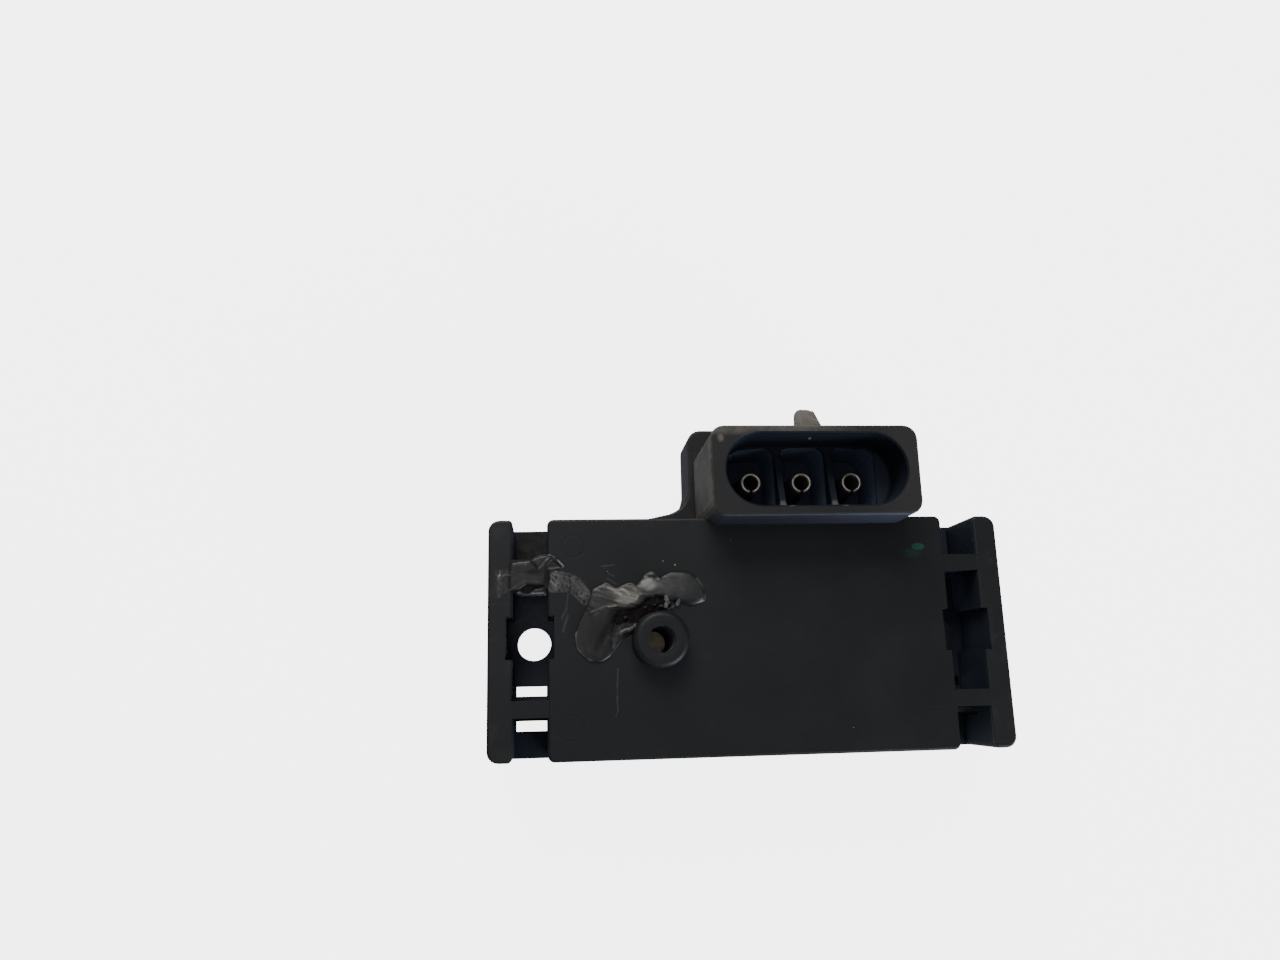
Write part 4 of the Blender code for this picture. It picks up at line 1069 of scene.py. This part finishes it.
class SENSOR_OT_repair(Operator):
    """Model the melted plastic over the left ear, the torn patch, the ribbon and its crumbs"""

    bl_idname = "sensor.repair"
    bl_label = "Melted repair"

    def execute(self, context):
        look = context.scene.sensor.repair
        pitch = look.pitch / MM
        smooth = melt_finish("melted_plastic_skin", look, 0.38, 0.012, 0.05)
        torn = melt_finish("torn_plastic_fibres", look, 0.6, 0.03, 0.0)
        melt_sheet("ribbon_sheet", RIBBON_EDGE, pitch, ribbon_shape, smooth, "melt_ribbon")
        melt_sheet("ear_smear", EAR_SMEAR, pitch, smear_shape, smooth, "melt_ear")
        melt_sheet("torn_patch", PALE_PATCH, pitch, patch_shape, torn, "melt_patch")
        self.crumbs(torn)
        return {"FINISHED"}

    def crumbs(self, material):
        """Small lumps of melted plastic on the front, in the hollow and in the socket."""
        bm = bmesh.new()
        marks = add_marks(bm)
        for k, (x, y, z, half, tall, turn, tone) in enumerate(CRUMBS):
            turned = Matrix.Rotation(math.radians(turn), 3, "Z")
            for vert in bmesh.ops.create_icosphere(bm, subdivisions=3, radius=1.0)["verts"]:
                broad = noise.noise(vert.co * 1.3 + Vector((k * 7.1, 0, 0)))
                lump = 1 + 0.45 * broad + 0.2 * noise.noise(vert.co * 3.5)
                co = turned @ Vector((vert.co.x * half, vert.co.y * tall, vert.co.z * half)) * lump
                vert.co = to_metres([(x + co.x, y + co.y, z + co.z)])[0]
                vert[marks[0]] = tone
        add_piece("crumbs", bm, material, 70)


# Rear and inside: finish name, colour, roughness, grain in mm, relief in mm, colour spread, other inputs.
INSIDE = {
    "rear_cover": ("rear_cover_plastic", (0.017, 0.017, 0.019), 0.5, 0.4, 0.014, 0.25, {}),
    "cover_seal": ("sealant_silicone", (0.10, 0.10, 0.11), 0.5, 0.5, 0.03, 0.2, {}),
    "circuit_board": ("board_alumina", (0.74, 0.72, 0.66), 0.45, 0.3, 0.006, 0.08, {}),
    "cell_cup": ("cell_cup_moulding", (0.45, 0.40, 0.30), 0.5, 0.3, 0.01, 0.12, {}),
    "cell_pedestal": ("cell_glass_block", (0.62, 0.66, 0.64), 0.12, 0.4, 0.003, 0.06, {}),
    "cell_die": ("cell_silicon_die", (0.12, 0.13, 0.16), 0.15, 0.3, 0.002, 0.2, {"metallic": 0.6}),
    "cell_gel": ("cell_cover_gel", (0.95, 0.76, 0.52), 0.25, 0.8, 0.02, 0.20, {"coat_weight": 0.3}),
    "amplifier_chip": ("chip_moulding", (0.02, 0.02, 0.02), 0.4, 0.2, 0.008, 0.2, {}),
    "capacitor": ("capacitor_body", (0.42, 0.28, 0.16), 0.45, 0.2, 0.005, 0.15, {}),
    "resistor": ("resistor_film_body", (0.03, 0.03, 0.04), 0.35, 0.2, 0.005, 0.3, {}),
}
SEVERAL = {"capacitor": 3, "resistor": 4}
COVER_PINS = ((-20, 9), (20, 9), (-20, -9), (20, -9), (7.9, 18.5))
COVER_GATE = (-3.0, 2.0)


def plain_finish(name, color, roughness, size, depth, spread, fixed):
    """Small parts: broad colour drift, fine grain and matching roughness."""
    f = Finish(name, color, roughness, **fixed)
    drift = f.grain(size * 8, 3.0)
    fine = f.grain(size, 3.0, 0.6)
    dark = scaled(color, 1 - spread)
    light = tuple(min((1 + spread) * c, 1.0) for c in color)
    rough = (roughness + (fine - 0.5) * 0.16 + (drift - 0.5) * 0.1).most(0.05).least(0.95)
    f.set(base_color=f.mix(drift.ramp(0.3, 0.7), dark, light), roughness=rough, normal=f.bump(fine, depth))
    return f


def cover_relief(f):
    """Rings left by the ejector pins and a raised gate on the rear cover."""
    gate = 1.0 - f.from_point(*COVER_GATE).ramp(0.5, 0.8)
    pins = most_of(1.0 - abs(f.from_point(x, y) - 1.6).ramp(0.04, 0.2) for x, y in COVER_PINS)
    f.set(normal=f.bump(f.grain(0.4, 3.0, 0.6) * 0.6 + gate * 3.0 - pins * 2.5, 0.02))


class SENSOR_OT_inside(Operator):
    """Finish the rear cover, its sealant, the board, the chips and the pressure cell"""

    bl_idname = "sensor.inside"
    bl_label = "Rear cover and inside"

    def execute(self, context):
        for node, looks in INSIDE.items():
            finish = plain_finish(*looks)
            if node == "rear_cover":
                cover_relief(finish)
            count = SEVERAL.get(node)
            for name in ["%s_%d" % (node, i + 1) for i in range(count)] if count else [node]:
                paint_node(name, finish.material)
        return {"FINISHED"}


# Studio: name, place in metres, size, watts, colour; all lamps face the part.
LAMPS = (
    ("key", (-0.10, 0.40, 0.36), 0.30, 2.0, (1.0, 0.99, 0.98)),
    ("fill", (0.50, -0.45, 0.45), 0.45, 1.1, (0.92, 0.95, 1.0)),
    ("front", (0.42, -0.50, 0.16), 0.30, 3.5, (0.78, 0.85, 1.0)),
    ("near", (-0.22, 0.06, 0.87), 0.70, 0.68, (0.98, 0.99, 1.0)),
    ("top", (-0.106, -0.052, 0.90), 0.12, 0.15, (1.0, 1.0, 1.0)),
)
SKY_COLOR = (0.92, 0.95, 1.0, 1.0)
SKY_STRENGTH = 0.17
FLOOR_HALF = 3.0
FLOOR_GAP = 0.00005
DOME_RADIUS = 2.9
CAMERA_PLACE = (-25.96, -7.276, 140.54)
CAMERA_TURN = (12.64, -5.33, -0.31)


def glowing(name, look, roughness):
    """Material that gives back light by itself."""
    f = Finish(name, look.floor, roughness)
    f.set(emission_color=(*look.floor, 1.0), emission_strength=look.glow)
    return f.material


class SENSOR_OT_stage(Operator):
    """Set the floor, the lamps and the camera"""

    bl_idname = "sensor.stage"
    bl_label = "Studio"

    def execute(self, context):
        look = context.scene.sensor.studio
        bm = bmesh.new()
        bmesh.ops.create_grid(bm, x_segments=1, y_segments=1, size=FLOOR_HALF)
        floor = add_object("floor", to_mesh("floor", bm, glowing("studio_floor", look, 0.6)))
        floor.location = (0.0, 0.0, CAD_BOX[0][2] - FLOOR_GAP)
        floor.visible_glossy = False
        self.backdrop(context, look)

        world = bpy.data.worlds.new("studio")
        context.scene.world = world
        world.use_nodes = True
        sky = world.node_tree.nodes["Background"].inputs
        sky["Color"].default_value = SKY_COLOR
        sky["Strength"].default_value = SKY_STRENGTH * look.power
        for name, at, size, watts, shade in LAMPS:
            lamp = bpy.data.lights.new(name, "AREA")
            lamp.shape = "SQUARE"
            lamp.size = size
            lamp.energy = watts * look.power
            lamp.color = shade
            holder = add_object(name, lamp)
            holder.location = at
            holder.rotation_euler = (-Vector(at)).to_track_quat("-Z", "Y").to_euler()
        self.camera(context, look)
        return {"FINISHED"}

    def backdrop(self, context, look):
        """Pale dome round the floor, which lights nothing."""
        bm = bmesh.new()
        bmesh.ops.create_uvsphere(bm, u_segments=64, v_segments=32, radius=DOME_RADIUS)
        bmesh.ops.reverse_faces(bm, faces=bm.faces)
        mesh = to_mesh("backdrop", bm, glowing("studio_backdrop", look, 1.0))
        mesh.shade_smooth()
        shell = add_object("backdrop", mesh)
        for kind in ("diffuse", "glossy", "transmission", "volume_scatter", "shadow"):
            setattr(shell, "visible_" + kind, False)
        return shell

    def camera(self, context, look):
        """Camera close over the front, tilted as in the photo."""
        camera = bpy.data.cameras.new("camera")
        camera.lens = look.lens
        camera.sensor_width = 36.0
        camera.clip_start = 0.005
        holder = add_object("camera", camera)
        holder.location = to_metres([CAMERA_PLACE])[0]
        turn = [math.radians(angle) for angle in CAMERA_TURN]
        holder.rotation_euler = Euler(turn, "ZYX").to_matrix().to_euler("XYZ")
        context.scene.camera = holder


OPERATORS = (SENSOR_OT_housing, SENSOR_OT_terminals, SENSOR_OT_repair, SENSOR_OT_inside, SENSOR_OT_stage)


class SENSOR_PT_panel(Panel):
    """Builds the pieces and shows their settings"""

    bl_idname = "SENSOR_PT_panel"
    bl_label = "Pressure sensor"
    bl_space_type = "VIEW_3D"
    bl_region_type = "UI"
    bl_category = "Sensor"

    def draw(self, context):
        settings = context.scene.sensor
        for group in (settings.housing, settings.terminals, settings.repair, settings.studio):
            box = self.layout.box()
            for key in group.__annotations__:
                box.prop(group, key)
        for operator in OPERATORS:
            self.layout.operator(operator.bl_idname)


CLASSES = (HousingLook, TerminalLook, RepairLook, StudioLook, SensorSettings, *OPERATORS, SENSOR_PT_panel)


def register():
    for item in CLASSES:
        bpy.utils.register_class(item)
    bpy.types.Scene.sensor = PointerProperty(type=SensorSettings)


def unregister():
    del bpy.types.Scene.sensor
    for item in reversed(CLASSES):
        bpy.utils.unregister_class(item)


def main():
    register()
    for step in OPERATORS:
        group, name = step.bl_idname.split(".")
        getattr(getattr(bpy.ops, group), name)()


if __name__ == "__main__":
    main()
